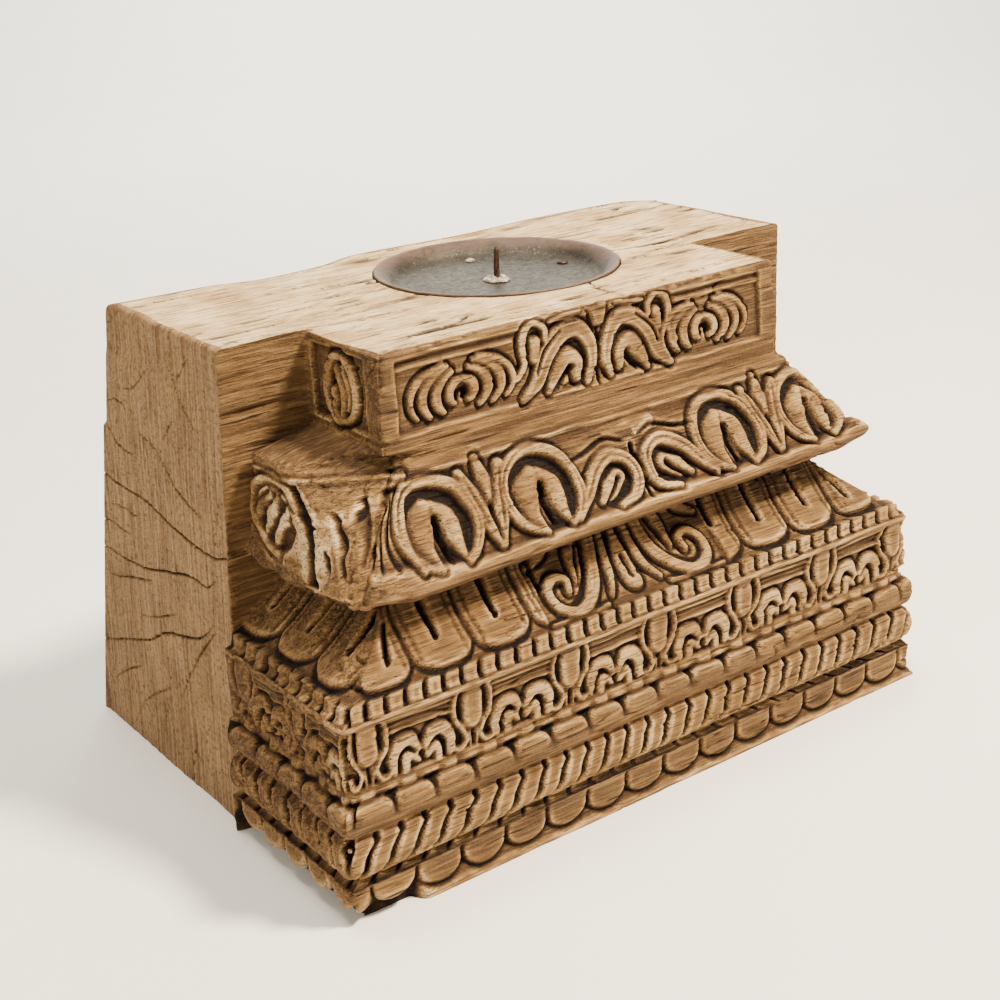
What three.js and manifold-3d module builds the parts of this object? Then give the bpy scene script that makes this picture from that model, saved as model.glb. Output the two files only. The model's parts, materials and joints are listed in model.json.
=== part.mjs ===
// Carved hardwood block candle holder: one salvaged timber with a carved front, and a pressed
// steel dish with a spike let into its flat top. Millimetres, +Z up, carved front facing -Y.
// The origin is the middle of the footprint, on the surface that the block stands on.

import * as THREE from 'three';
import * as BufferGeometryUtils from 'three/addons/utils/BufferGeometryUtils.js';
import Module from 'manifold-3d';

const wasm = await Module();
wasm.setup();

// ---- driving dimensions -------------------------------------------------------------------

const BLOCK_LENGTH = 260;      // along X, at the base
const BLOCK_DEPTH = 194;       // along Y, at the base
const BLOCK_HEIGHT = 169;
const LEFT_INSET = 2.7;        // the core's sawn left end, inside the carved plinth
const LEFT_LEAN = 10;          // how much further in it is at the top
const RIGHT_INSET = 0.5;
const RIGHT_LEAN = 0.5;
const BACK_LEAN = 30.5;
const CORE_FRONT = 76;         // from the plinth's front edge back to the core's plain front
const RETURN_RATIO = 1.33;     // a moulding steps in this much further on the ends than in front

// Mouldings, from the bottom up: each band's height, then how far it is set in from the plinth
const PLINTH_HEIGHT = 4;
const SCALLOP_HEIGHT = 11;
const ROPE_HEIGHT = 15;
const SCALE_HEIGHT = 13.2;
const FILLET_HEIGHT = 1.4;
const FRIEZE_HEIGHT = 14.2;
const REED_HEIGHT = 2.4;
const REEDS = 3;
const SHELF_HEIGHT = 3;
const DENTIL_HEIGHT = 5;
const LEAF_HEIGHT = 26.5;
const LIP_HEIGHT = 6.5;
const SLAB_FACE_HEIGHT = 24.5;
const LEDGE_HEIGHT = 6.5;

const GROOVE_INSET = 4.5;
const SCALE_INSET = 0.5;
const FRIEZE_INSET = 5;
const REED_INSET = 4;
const SHELF_INSET = 3;
const DENTIL_INSET = 5;
const LEAF_FOOT_INSET = 7;
const LEAF_TOP_INSET = 27;
const LEAF_HOLLOW = 1.7;       // 1 is a straight slope; more is a deeper hollow
const LIP_INSET = 12;
const LIP_ROUND = 3;
const SLAB_TOP_INSET = 30.5;
const STEP_INSET = 33.5;
const LEDGE_NOSE = 0.6;

// Carving: the spacing of what repeats, and how deep it is cut or how high it stands
const SCALLOP_PITCH = 17.3;
const ROPE_PITCH = 9.6;
const SCALE_PITCH = 15.6;
const FRIEZE_PITCH = 39;
const DENTIL_PITCH = 7.3;
const LEAF_PITCH = 23.4;
const LOOP_PITCH = 41;
const CARVING_DEPTH = 2.6;
const RELIEF_HEIGHT = 1.8;
const STRAP_WIDTH = 2.6;
const BITE = 0.8;              // how far raised carving reaches into the ground behind it

// Dish, spike, weld and tacks
const DISH_DIAMETER = 90;
const DISH_SIDE_WIDTH = 7.8;   // the sloping side, from the flat floor out to the rim
const DISH_DEPTH = 6;
const DISH_SHEET = 1.2;
const DISH_PROUD = 0.5;        // the rim above the timber
const DISH_OFF_CENTRE = 10.5;  // along X
const DISH_SET_BACK = 3.6;      // behind the middle of the flat top
const SPIKE_DIAMETER = 2.2;
const SPIKE_HEIGHT = 12.5;     // above the dish's floor
const SPIKE_POINT = 3;
const SPIKE_HEAD_DIAMETER = 8;
const SPIKE_HEAD_THICKNESS = 1.5;
const WELD_DIAMETER = 11;
const WELD_HEIGHT = 1.4;
const TACK_DIAMETER = 1.6;
const TACK_HEAD_DIAMETER = 4.4;
const TACK_HEAD_HEIGHT = 1;
const TACK_LENGTH = 9;         // below the dish's floor
const TACK_INSET = 3;          // from the edge of the dish's flat floor
const TACK_ANGLES = [5, 72];   // degrees round the dish
const FIT_GAP = 0.3;           // between pieces that touch

const HALF_LENGTH = BLOCK_LENGTH / 2;
const FRONT = -BLOCK_DEPTH / 2;
const LIP_Z = PLINTH_HEIGHT + SCALLOP_HEIGHT + ROPE_HEIGHT + SCALE_HEIGHT + FILLET_HEIGHT
  + FRIEZE_HEIGHT + REEDS * REED_HEIGHT + SHELF_HEIGHT + DENTIL_HEIGHT + LEAF_HEIGHT;
const STEP_Z = LIP_Z + LIP_HEIGHT + SLAB_FACE_HEIGHT + LEDGE_HEIGHT;
const FRONT_SIDE = 0;
const SIDES = [FRONT_SIDE, -1, 1];   // the front, the left return and the right return

// ---- solids -------------------------------------------------------------------------------

function solid(geometry) {
  const bare = geometry.clone();
  bare.deleteAttribute('normal');
  bare.deleteAttribute('uv');
  const merged = BufferGeometryUtils.mergeVertices(bare, 1e-4);
  const mesh = new wasm.Mesh({
    numProp: 3,
    vertProperties: new Float32Array(merged.attributes.position.array),
    triVerts: new Uint32Array(merged.index.array),
  });
  return new wasm.Manifold(mesh);
}

function geometryOf(manifold) {
  const mesh = manifold.getMesh();
  const geometry = new THREE.BufferGeometry();
  geometry.setAttribute('position', new THREE.BufferAttribute(mesh.vertProperties, 3));
  geometry.setIndex(new THREE.BufferAttribute(mesh.triVerts, 1));
  geometry.computeVertexNormals();
  return geometry;
}

// A closed turned solid about a vertical axis from [radius, z] points
function turned(points, segments, x, y) {
  const profile = points.map(([radius, z]) => new THREE.Vector2(radius, z));
  const geometry = new THREE.LatheGeometry(profile, segments);
  geometry.rotateX(Math.PI / 2);
  geometry.translate(x, y, 0);
  return solid(geometry);
}

function plate(shape, low, high, curveSegments = 5) {
  const geometry = new THREE.ExtrudeGeometry(shape, {
    depth: high - low,
    bevelEnabled: false,
    curveSegments,
  });
  geometry.translate(0, 0, low);
  return geometry;
}

// ---- the timber's body --------------------------------------------------------------------

// The plain core: a box whose left end, right end and back lean in towards the top
function core() {
  const depth = BLOCK_DEPTH - CORE_FRONT;
  const length = BLOCK_LENGTH - LEFT_INSET - RIGHT_INSET;
  const middle = (LEFT_INSET - RIGHT_INSET) / 2;
  const geometry = new THREE.BoxGeometry(length, depth, BLOCK_HEIGHT);
  geometry.translate(middle, BLOCK_DEPTH / 2 - depth / 2, BLOCK_HEIGHT / 2);
  const position = geometry.attributes.position;
  for (let i = 0; i < position.count; i += 1) {
    if (position.getZ(i) < BLOCK_HEIGHT / 2) continue;
    const x = position.getX(i);
    position.setX(i, x < 0 ? x + LEFT_LEAN : x - RIGHT_LEAN);
    if (position.getY(i) > FRONT + CORE_FRONT + 1) position.setY(i, position.getY(i) - BACK_LEAN);
  }
  return solid(geometry);
}

// Points of a rounded band that stands out from edgeInset to crownInset
function bulge(low, high, edgeInset, crownInset, steps) {
  const rise = (high - low) / 2;
  const sagitta = edgeInset - crownInset;
  const radius = (rise * rise + sagitta * sagitta) / (2 * sagitta);
  const half = Math.asin(rise / radius);
  const points = [];
  for (let i = 0; i <= steps; i += 1) {
    const angle = -half + (2 * half * i) / steps;
    const inset = crownInset + radius * (1 - Math.cos(angle));
    points.push([inset, (low + high) / 2 + radius * Math.sin(angle)]);
  }
  return points;
}

// The hollow slope that the big leaves are carved on
function leafInset(share) {
  return LEAF_FOOT_INSET + (LEAF_TOP_INSET - LEAF_FOOT_INSET) * (1 - (1 - share) ** LEAF_HOLLOW);
}

// The front's profile as [inset, z] points, and the places of its bands
function profile() {
  const bands = {};
  let z = 0;
  const take = (name, height) => {
    bands[name] = { low: z, high: z + height };
    z += height;
    return bands[name];
  };
  const plinth = take('plinth', PLINTH_HEIGHT);
  const scallops = take('scallops', SCALLOP_HEIGHT);
  const rope = take('rope', ROPE_HEIGHT);
  const scales = take('scales', SCALE_HEIGHT);
  const fillet = take('fillet', FILLET_HEIGHT);
  const frieze = take('frieze', FRIEZE_HEIGHT);
  const reeds = take('reeds', REEDS * REED_HEIGHT);
  const shelf = take('shelf', SHELF_HEIGHT);
  const dentils = take('dentils', DENTIL_HEIGHT);
  const leaves = take('leaves', LEAF_HEIGHT);
  const lip = take('lip', LIP_HEIGHT);
  const slab = take('slab', SLAB_FACE_HEIGHT);
  const ledge = take('ledge', LEDGE_HEIGHT);

  const bulgeSteps = 4;
  const points = [[0, plinth.low], [0, scallops.high]];
  points.push(...bulge(rope.low, rope.high, GROOVE_INSET, 0, bulgeSteps));
  points.push(...bulge(scales.low, scales.high, GROOVE_INSET, SCALE_INSET, bulgeSteps).slice(1));
  points.push([SHELF_INSET, fillet.low], [SHELF_INSET, fillet.high]);
  points.push([FRIEZE_INSET, frieze.low], [FRIEZE_INSET, frieze.high]);
  for (let i = 0; i < REEDS; i += 1) {
    const low = reeds.low + i * REED_HEIGHT;
    const high = low + REED_HEIGHT * 0.6;
    points.push([REED_INSET, low], [REED_INSET, high]);
    points.push([FRIEZE_INSET, high], [FRIEZE_INSET, low + REED_HEIGHT]);
  }
  points.push([SHELF_INSET, shelf.low], [SHELF_INSET, shelf.high]);
  points.push([DENTIL_INSET, dentils.low], [DENTIL_INSET, dentils.high]);
  const leafSteps = 5;
  for (let i = 0; i <= leafSteps; i += 1) {
    const share = i / leafSteps;
    points.push([leafInset(share), leaves.low + share * LEAF_HEIGHT]);
  }
  points.push([LIP_INSET + LIP_ROUND, lip.low]);
  points.push([LIP_INSET + LIP_ROUND * 0.3, lip.low + LIP_ROUND * 0.4]);
  points.push([LIP_INSET, lip.low + LIP_ROUND * 1.2]);
  points.push([LIP_INSET + LIP_ROUND * 0.6, slab.low]);
  const ledgeMiddle = (ledge.low + ledge.high) / 2;
  points.push([SLAB_TOP_INSET, slab.high], [STEP_INSET - LEDGE_NOSE, slab.high]);
  points.push([STEP_INSET - LEDGE_NOSE, ledgeMiddle], [STEP_INSET + LEDGE_NOSE, ledgeMiddle]);
  points.push([STEP_INSET, ledge.high], [STEP_INSET, BLOCK_HEIGHT]);
  return { bands, points };
}

// The moulded front: one rectangle for each profile point, joined into a closed solid. Each
// rectangle runs from the front back into the core, and the returns step in by RETURN_RATIO.
function mouldedFront(points) {
  const seam = 0.5;
  const back = FRONT + CORE_FRONT + seam;
  const vertices = [];
  const indices = [];
  for (const [inset, z] of points) {
    const x = HALF_LENGTH - RETURN_RATIO * inset;
    const y = FRONT + inset;
    vertices.push(-x, y, z, x, y, z, x, back, z, -x, back, z);
  }
  for (let i = 0; i + 1 < points.length; i += 1) {
    for (let side = 0; side < 4; side += 1) {
      const a = 4 * i + side;
      const b = 4 * i + ((side + 1) % 4);
      indices.push(a, b, b + 4, a, b + 4, a + 4);
    }
  }
  const top = 4 * (points.length - 1);
  indices.push(0, 2, 1, 0, 3, 2, top, top + 1, top + 2, top, top + 2, top + 3);
  const geometry = new THREE.BufferGeometry();
  geometry.setAttribute('position', new THREE.Float32BufferAttribute(vertices, 3));
  geometry.setIndex(indices);
  return solid(geometry);
}

// The slab's left end, worn to a heavy round corner that stands out further than the right one.
// Each ring lists [x, y] from inside the timber, round the end and back to the front's corner.
function slabEnd(slab) {
  const back = FRONT + CORE_FRONT + 0.5;
  const inside = -HALF_LENGTH + RETURN_RATIO * STEP_INSET + 5;
  const rings = [
    [slab.low, [[inside, back], [-HALF_LENGTH + 17.5, back], [-HALF_LENGTH + 17.5, FRONT + 47],
      [-HALF_LENGTH + 18, FRONT + 27], [-HALF_LENGTH + 19, FRONT + 15]]],
    [slab.high + 2.5, [[inside, back], [-HALF_LENGTH + 19.5, back], [-HALF_LENGTH + 19.5, FRONT + 53],
      [-HALF_LENGTH + 24, FRONT + 41], [-HALF_LENGTH + 42, FRONT + 32]]],
  ];
  const vertices = [];
  for (const [z, ring] of rings) for (const [x, y] of ring) vertices.push(x, y, z);
  const count = rings[0][1].length;
  const indices = [];
  for (let i = 0; i < count; i += 1) {
    const next = (i + 1) % count;
    indices.push(i, next, next + count, i, next + count, i + count);
  }
  for (let i = 1; i + 1 < count; i += 1) {
    indices.push(0, i + 1, i, count, count + i, count + i + 1);
  }
  const geometry = new THREE.BufferGeometry();
  geometry.setAttribute('position', new THREE.Float32BufferAttribute(vertices, 3));
  geometry.setIndex(indices);
  return solid(geometry);
}

// ---- carved faces -------------------------------------------------------------------------

// A face of the front or of a return, between two [inset, z] points. In its own frame X runs
// to the right, Y up the face from its lower point and Z out of the timber.
function carvedFace(side, [lowInset, lowZ], [highInset, highZ]) {
  const ratio = side === FRONT_SIDE ? 1 : RETURN_RATIO;
  const lean = Math.atan2(ratio * (highInset - lowInset), highZ - lowZ);
  const matrix = new THREE.Matrix4().makeRotationX(Math.PI / 2 - lean);
  matrix.premultiply(new THREE.Matrix4().makeRotationZ((side * Math.PI) / 2));
  const x = side * (HALF_LENGTH - RETURN_RATIO * lowInset);
  const y = side === FRONT_SIDE ? FRONT + lowInset : FRONT + (lowInset + CORE_FRONT) / 2;
  matrix.premultiply(new THREE.Matrix4().makeTranslation(x, y, lowZ));
  const inner = Math.max(lowInset, highInset);
  const length = side === FRONT_SIDE ? BLOCK_LENGTH - 2 * RETURN_RATIO * inner : CORE_FRONT - inner;
  return { side, matrix, length, height: Math.hypot(ratio * (highInset - lowInset), highZ - lowZ) };
}

function onFace(geometry, face, x, y, roll = 0) {
  const local = new THREE.Matrix4().makeRotationZ(roll);
  local.premultiply(new THREE.Matrix4().makeTranslation(x, y, 0));
  geometry.applyMatrix4(local);
  geometry.applyMatrix4(face.matrix);
  return solid(geometry);
}

// Places along a face at an even spacing close to the pitch: the middles, or the joints between
function middles(face, pitch) {
  const count = Math.max(1, Math.round(face.length / pitch));
  const spacing = face.length / count;
  return Array.from({ length: count }, (_, i) => (i + 0.5) * spacing - face.length / 2);
}

function joints(face, pitch) {
  const count = Math.max(1, Math.round(face.length / pitch));
  const spacing = face.length / count;
  return Array.from({ length: count - 1 }, (_, i) => (i + 1) * spacing - face.length / 2);
}

// The gap between two round-ended tabs: a point that opens to a wide foot
function cusp(width, height) {
  const shape = new THREE.Shape();
  shape.moveTo(-width / 2, 0);
  shape.lineTo(width / 2, 0);
  shape.quadraticCurveTo(width * 0.08, height * 0.15, 0.35, height);
  shape.lineTo(-0.35, height);
  shape.quadraticCurveTo(-width * 0.08, height * 0.15, -width / 2, 0);
  return shape;
}

// A flat strap along a list of [x, y] points
function strap(points, width) {
  const curve = new THREE.SplineCurve(points.map(([x, y]) => new THREE.Vector2(x, y)));
  const steps = points.length;
  const left = [];
  const right = [];
  for (let i = 0; i <= steps; i += 1) {
    const at = curve.getPoint(i / steps);
    const along = curve.getTangent(i / steps);
    const taper = i === 0 || i === steps ? 0.5 : 1;
    const out = new THREE.Vector2(-along.y, along.x).multiplyScalar((taper * width) / 2);
    left.push(at.clone().add(out));
    right.unshift(at.clone().sub(out));
  }
  return new THREE.Shape([...left, ...right]);
}

// A scroll: an arc whose radius shrinks from outer to inner between two angles, in degrees
function scroll(x, y, outer, inner, from, to, steps = 8) {
  const points = [];
  for (let i = 0; i <= steps; i += 1) {
    const angle = THREE.MathUtils.degToRad(from + ((to - from) * i) / steps);
    const radius = outer + ((inner - outer) * i) / steps;
    points.push([x + radius * Math.cos(angle), y + radius * Math.sin(angle)]);
  }
  return points;
}

// ---- carving, band by band: each returns the solids to cut away or to add ---------------------

function scallopGaps(side, band) {
  const face = carvedFace(side, [0, band.low], [0, band.high]);
  return joints(face, SCALLOP_PITCH).map((x) => {
    const gap = cusp(SCALLOP_PITCH * 0.86, SCALLOP_HEIGHT * 0.88);
    return onFace(plate(gap, -CARVING_DEPTH, 1), face, x, 0);
  });
}

function ropeGaps(side, band) {
  const face = carvedFace(side, [0, band.low], [0, band.high]);
  const slant = THREE.MathUtils.degToRad(-32);
  return joints(face, ROPE_PITCH).map((x) => {
    const gap = new THREE.BoxGeometry(1.2, ROPE_HEIGHT * 1.02, 2 * CARVING_DEPTH);
    return onFace(gap, face, x, ROPE_HEIGHT / 2, slant);
  });
}

function scaleGaps(side, band) {
  const face = carvedFace(side, [SCALE_INSET, band.low], [SCALE_INSET, band.high]);
  const shape = new THREE.Shape();
  shape.moveTo(0, SCALE_HEIGHT * 0.25);
  shape.lineTo(SCALE_PITCH * 0.24, SCALE_HEIGHT);
  shape.lineTo(-SCALE_PITCH * 0.24, SCALE_HEIGHT);
  return joints(face, SCALE_PITCH).map((x) => (
    onFace(plate(shape, -CARVING_DEPTH, 2), face, x, 0)
  ));
}

function dentilGaps(side, band) {
  const face = carvedFace(side, [DENTIL_INSET, band.low], [DENTIL_INSET, band.high]);
  return joints(face, DENTIL_PITCH).map((x) => {
    const gap = new THREE.BoxGeometry(1.4, DENTIL_HEIGHT * 0.9, 2 * RELIEF_HEIGHT);
    return onFace(gap, face, x, DENTIL_HEIGHT * 0.5);
  });
}

function leafFace(side, band) {
  const chord = 0.6;
  const top = [leafInset(chord), band.low + chord * LEAF_HEIGHT];
  return carvedFace(side, [leafInset(0), band.low], top);
}

// Leaves stand either side of the scrolls in the middle of the front, and all along a return
function leafGaps(side, band) {
  const face = leafFace(side, band);
  const clear = side === FRONT_SIDE ? 1.6 * LEAF_PITCH : -1;
  const gaps = joints(face, LEAF_PITCH).filter((x) => Math.abs(x) > clear).map((x) => (
    onFace(plate(cusp(LEAF_PITCH * 0.8, face.height * 0.8), -2, 5), face, x, 1)
  ));
  const slots = middles(face, LEAF_PITCH).filter((x) => Math.abs(x) > clear).map((x) => {
    const slot = new THREE.BoxGeometry(2.4, face.height * 0.7, 2 * CARVING_DEPTH);
    return onFace(slot, face, x, face.height * 0.65);
  });
  return [...gaps, ...slots];
}

function leafScrolls(band) {
  const face = leafFace(FRONT_SIDE, band);
  const outer = face.height * 0.33;
  return [-1, 1].map((hand) => {
    const points = scroll(LEAF_PITCH * 1.15, face.height * 0.5, outer, outer * 0.4, -150, 170);
    const turn = points.map(([x, y]) => [hand * x, y]);
    return onFace(plate(strap(turn, STRAP_WIDTH * 1.1), -3, RELIEF_HEIGHT), face, 0, 0);
  });
}

// The frieze: round-ended tongues, with a pair of curled leaves in each panel between them
function friezeRelief(side, band) {
  const height = FRIEZE_HEIGHT + REEDS * REED_HEIGHT;
  const face = carvedFace(side, [FRIEZE_INSET, band.low], [FRIEZE_INSET, band.high]);
  const tongue = new THREE.Shape();
  const half = FRIEZE_PITCH * 0.12;
  tongue.moveTo(half, height - 0.5);
  tongue.lineTo(-half, height - 0.5);
  tongue.lineTo(-half, height * 0.5);
  tongue.absarc(0, height * 0.5, half, Math.PI, 2 * Math.PI, false);
  const added = joints(face, FRIEZE_PITCH).map((x) => (
    onFace(plate(tongue, -BITE, RELIEF_HEIGHT), face, x, 0)
  ));
  for (const x of middles(face, FRIEZE_PITCH)) {
    for (const hand of [-1, 1]) {
      const outer = FRIEZE_HEIGHT * 0.36;
      const arc = scroll(-outer, FRIEZE_HEIGHT * 0.44, outer, outer * 0.45, 190, -60);
      const curl = arc.map(([px, py]) => [hand * px, py]);
      added.push(onFace(plate(strap(curl, STRAP_WIDTH), -BITE, RELIEF_HEIGHT), face, x, 0));
    }
  }
  return added;
}

// The slab: tall loops side by side, and two that lean together in the middle of the front
function slabRelief(side, band) {
  const foot = [LIP_INSET + LIP_ROUND * 0.6, band.low];
  const face = carvedFace(side, foot, [SLAB_TOP_INSET, band.high]);
  const rise = face.height * 0.62;
  const radius = face.height * 0.3;
  return middles(face, LOOP_PITCH).map((x) => {
    const arch = scroll(0, rise, radius, radius, -20, 200);
    const loop = [[radius * 0.55, 3], ...arch, [-radius * 0.55, 3]];
    return onFace(plate(strap(loop, STRAP_WIDTH * 1.2), -BITE, RELIEF_HEIGHT), face, x, 0);
  });
}

// The step: a panel of curled leaves at each end of the front and two big curls in the middle
function stepRelief() {
  const height = BLOCK_HEIGHT - STEP_Z;
  const width = height * 0.085;
  const face = carvedFace(FRONT_SIDE, [STEP_INSET, STEP_Z], [STEP_INSET, BLOCK_HEIGHT]);
  const added = [];
  for (const hand of [-1, 1]) {
    const middle = scroll(0, 0, height * 0.32, height * 0.14, -120, 170);
    const big = middle.map(([x, y]) => [hand * (x + height * 0.42), y + height * 0.42]);
    added.push(onFace(plate(strap(big, width), -BITE, RELIEF_HEIGHT), face, 0, 0));
    for (const end of [-1, 1]) {
      const small = scroll(0, 0, height * 0.24, height * 0.1, 200, -80);
      const curl = small.map(([x, y]) => [end * (x - height * 0.25), y + height * 0.42]);
      const place = hand * face.length * 0.33;
      added.push(onFace(plate(strap(curl, width), -BITE, RELIEF_HEIGHT), face, place, 0));
    }
  }
  return added;
}

// ---- dish, spike, weld and tacks ------------------------------------------------------------

const DISH_X = DISH_OFF_CENTRE;
const DISH_Y = FRONT + (STEP_INSET + BLOCK_DEPTH - BACK_LEAN) / 2 + DISH_SET_BACK;
const RIM_Z = BLOCK_HEIGHT + DISH_PROUD;
const FLOOR_Z = RIM_Z - DISH_DEPTH;
const FLOOR_RADIUS = DISH_DIAMETER / 2 - DISH_SHEET - DISH_SIDE_WIDTH;
const SPIKE_GAP_RADIUS = SPIKE_DIAMETER / 2 + FIT_GAP;

// The dish's hollow side as [radius, z], from its floor to its rim, moved out by grow
function dishSide(floorZ, grow) {
  const steps = 4;
  const points = [];
  for (let i = 0; i <= steps; i += 1) {
    const share = i / steps;
    const radius = FLOOR_RADIUS + DISH_SIDE_WIDTH * share + grow;
    points.push([radius, floorZ + DISH_DEPTH * share ** 1.6]);
  }
  return points;
}

function tackPlaces() {
  return TACK_ANGLES.map((degrees) => {
    const angle = THREE.MathUtils.degToRad(degrees);
    const radius = FLOOR_RADIUS - TACK_INSET;
    return [DISH_X + radius * Math.cos(angle), DISH_Y + radius * Math.sin(angle)];
  });
}

function candleDish() {
  const under = FLOOR_Z - DISH_SHEET;
  const outside = dishSide(under, DISH_SHEET);
  const inside = dishSide(FLOOR_Z, 0);
  const profilePoints = [
    [SPIKE_GAP_RADIUS, under],
    ...outside.slice(0, -1),
    [DISH_DIAMETER / 2, RIM_Z - DISH_SHEET],
    [DISH_DIAMETER / 2, RIM_Z],
    ...inside.reverse(),
    [SPIKE_GAP_RADIUS, FLOOR_Z],
    [SPIKE_GAP_RADIUS, under],
  ];
  let dish = turned(profilePoints, 48, DISH_X, DISH_Y);
  for (const [x, y] of tackPlaces()) {
    const radius = TACK_DIAMETER / 2 + FIT_GAP;
    const hole = [[0, under - 2], [radius, under - 2], [radius, FLOOR_Z + 2], [0, FLOOR_Z + 2]];
    dish = dish.subtract(turned(hole, 10, x, y));
  }
  return dish;
}

// A nail whose head is held under the dish
function spike() {
  const radius = SPIKE_DIAMETER / 2;
  const headTop = FLOOR_Z - DISH_SHEET - FIT_GAP;
  const tip = FLOOR_Z + SPIKE_HEIGHT;
  return turned([
    [0, headTop - SPIKE_HEAD_THICKNESS],
    [SPIKE_HEAD_DIAMETER / 2, headTop - SPIKE_HEAD_THICKNESS],
    [SPIKE_HEAD_DIAMETER / 2, headTop],
    [radius, headTop],
    [radius, tip - SPIKE_POINT],
    [radius * 0.3, tip],
    [0, tip],
  ], 12, DISH_X, DISH_Y);
}

function spikeWeld() {
  const low = FLOOR_Z + FIT_GAP;
  const outer = WELD_DIAMETER / 2;
  return turned([
    [SPIKE_GAP_RADIUS, low],
    [outer, low],
    [outer * 0.8, low + WELD_HEIGHT * 0.5],
    [outer * 0.4, low + WELD_HEIGHT * 0.8],
    [SPIKE_GAP_RADIUS, low + WELD_HEIGHT],
    [SPIKE_GAP_RADIUS, low],
  ], 16, DISH_X, DISH_Y);
}

function tack(x, y) {
  const radius = TACK_DIAMETER / 2;
  const head = TACK_HEAD_DIAMETER / 2;
  const seat = FLOOR_Z + FIT_GAP;
  return turned([
    [0, FLOOR_Z - TACK_LENGTH],
    [radius, FLOOR_Z - TACK_LENGTH + 2 * TACK_DIAMETER],
    [radius, seat],
    [head, seat],
    [head * 0.7, seat + TACK_HEAD_HEIGHT * 0.8],
    [0, seat + TACK_HEAD_HEIGHT],
  ], 10, x, y);
}

// What is cut out of the timber's top: the dish's seat, the spike head's pocket and tack holes
function topCuts() {
  const under = FLOOR_Z - DISH_SHEET;
  const above = BLOCK_HEIGHT + DISH_DEPTH;
  const seat = dishSide(under - FIT_GAP, DISH_SHEET + FIT_GAP);
  const rimRadius = DISH_DIAMETER / 2 + FIT_GAP;
  const cuts = [turned([
    [0, under - FIT_GAP],
    ...seat.slice(0, -1),
    [rimRadius, RIM_Z - DISH_SHEET - FIT_GAP],
    [rimRadius, above],
    [0, above],
  ], 48, DISH_X, DISH_Y)];
  const pocket = SPIKE_HEAD_DIAMETER / 2 + FIT_GAP;
  const pocketFloor = under - FIT_GAP - SPIKE_HEAD_THICKNESS - FIT_GAP;
  cuts.push(turned([[0, pocketFloor], [pocket, pocketFloor], [pocket, above], [0, above]],
    24, DISH_X, DISH_Y));
  for (const [x, y] of tackPlaces()) {
    const radius = TACK_DIAMETER / 2 + FIT_GAP;
    const low = FLOOR_Z - TACK_LENGTH - FIT_GAP;
    cuts.push(turned([[0, low], [radius, low], [radius, above], [0, above]], 10, x, y));
  }
  return cuts;
}

// ---- the carved timber ----------------------------------------------------------------------

function carvedBlock() {
  const { bands, points } = profile();
  let block = mouldedFront(points);
  for (const side of SIDES) {
    const cuts = [
      ...scallopGaps(side, bands.scallops),
      ...ropeGaps(side, bands.rope),
      ...scaleGaps(side, bands.scales),
      ...dentilGaps(side, bands.dentils),
      ...leafGaps(side, bands.leaves),
    ];
    const slabCarving = side === -1 ? [] : slabRelief(side, bands.slab);
    const reliefs = [...friezeRelief(side, bands.frieze), ...slabCarving];
    for (const cut of cuts) block = block.subtract(cut);
    for (const relief of reliefs) block = block.add(relief);
  }
  for (const relief of leafScrolls(bands.leaves)) block = block.add(relief);
  for (const relief of stepRelief()) block = block.add(relief);
  block = block.add(slabEnd(bands.slab));
  block = block.add(core());
  for (const cut of topCuts()) block = block.subtract(cut);
  return block;
}

// ---- the assembly ---------------------------------------------------------------------------

const wood = new THREE.MeshStandardMaterial({ color: '#a67c4e', roughness: 0.85, metalness: 0 });
const steel = new THREE.MeshStandardMaterial({ color: '#6f6a61', roughness: 0.55, metalness: 0.8 });
const iron = new THREE.MeshStandardMaterial({ color: '#4a3224', roughness: 0.7, metalness: 0.6 });
const weld = new THREE.MeshStandardMaterial({ color: '#b3a794', roughness: 0.8, metalness: 0.3 });

const group = new THREE.Group();

function addPiece(name, manifold, material) {
  const mesh = new THREE.Mesh(geometryOf(manifold), material);
  mesh.name = name;
  group.add(mesh);
}

addPiece('carved_block', carvedBlock(), wood);
addPiece('candle_dish', candleDish(), steel);
addPiece('spike', spike(), iron);
addPiece('spike_weld', spikeWeld(), weld);
tackPlaces().forEach(([x, y], i) => addPiece(`dish_tack_${i + 1}`, tack(x, y), iron));

export default group;
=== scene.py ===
"""Carved hardwood block candle holder, with a rusty steel dish and a nail spike let into its top."""

import json
import math
from types import SimpleNamespace

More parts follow.
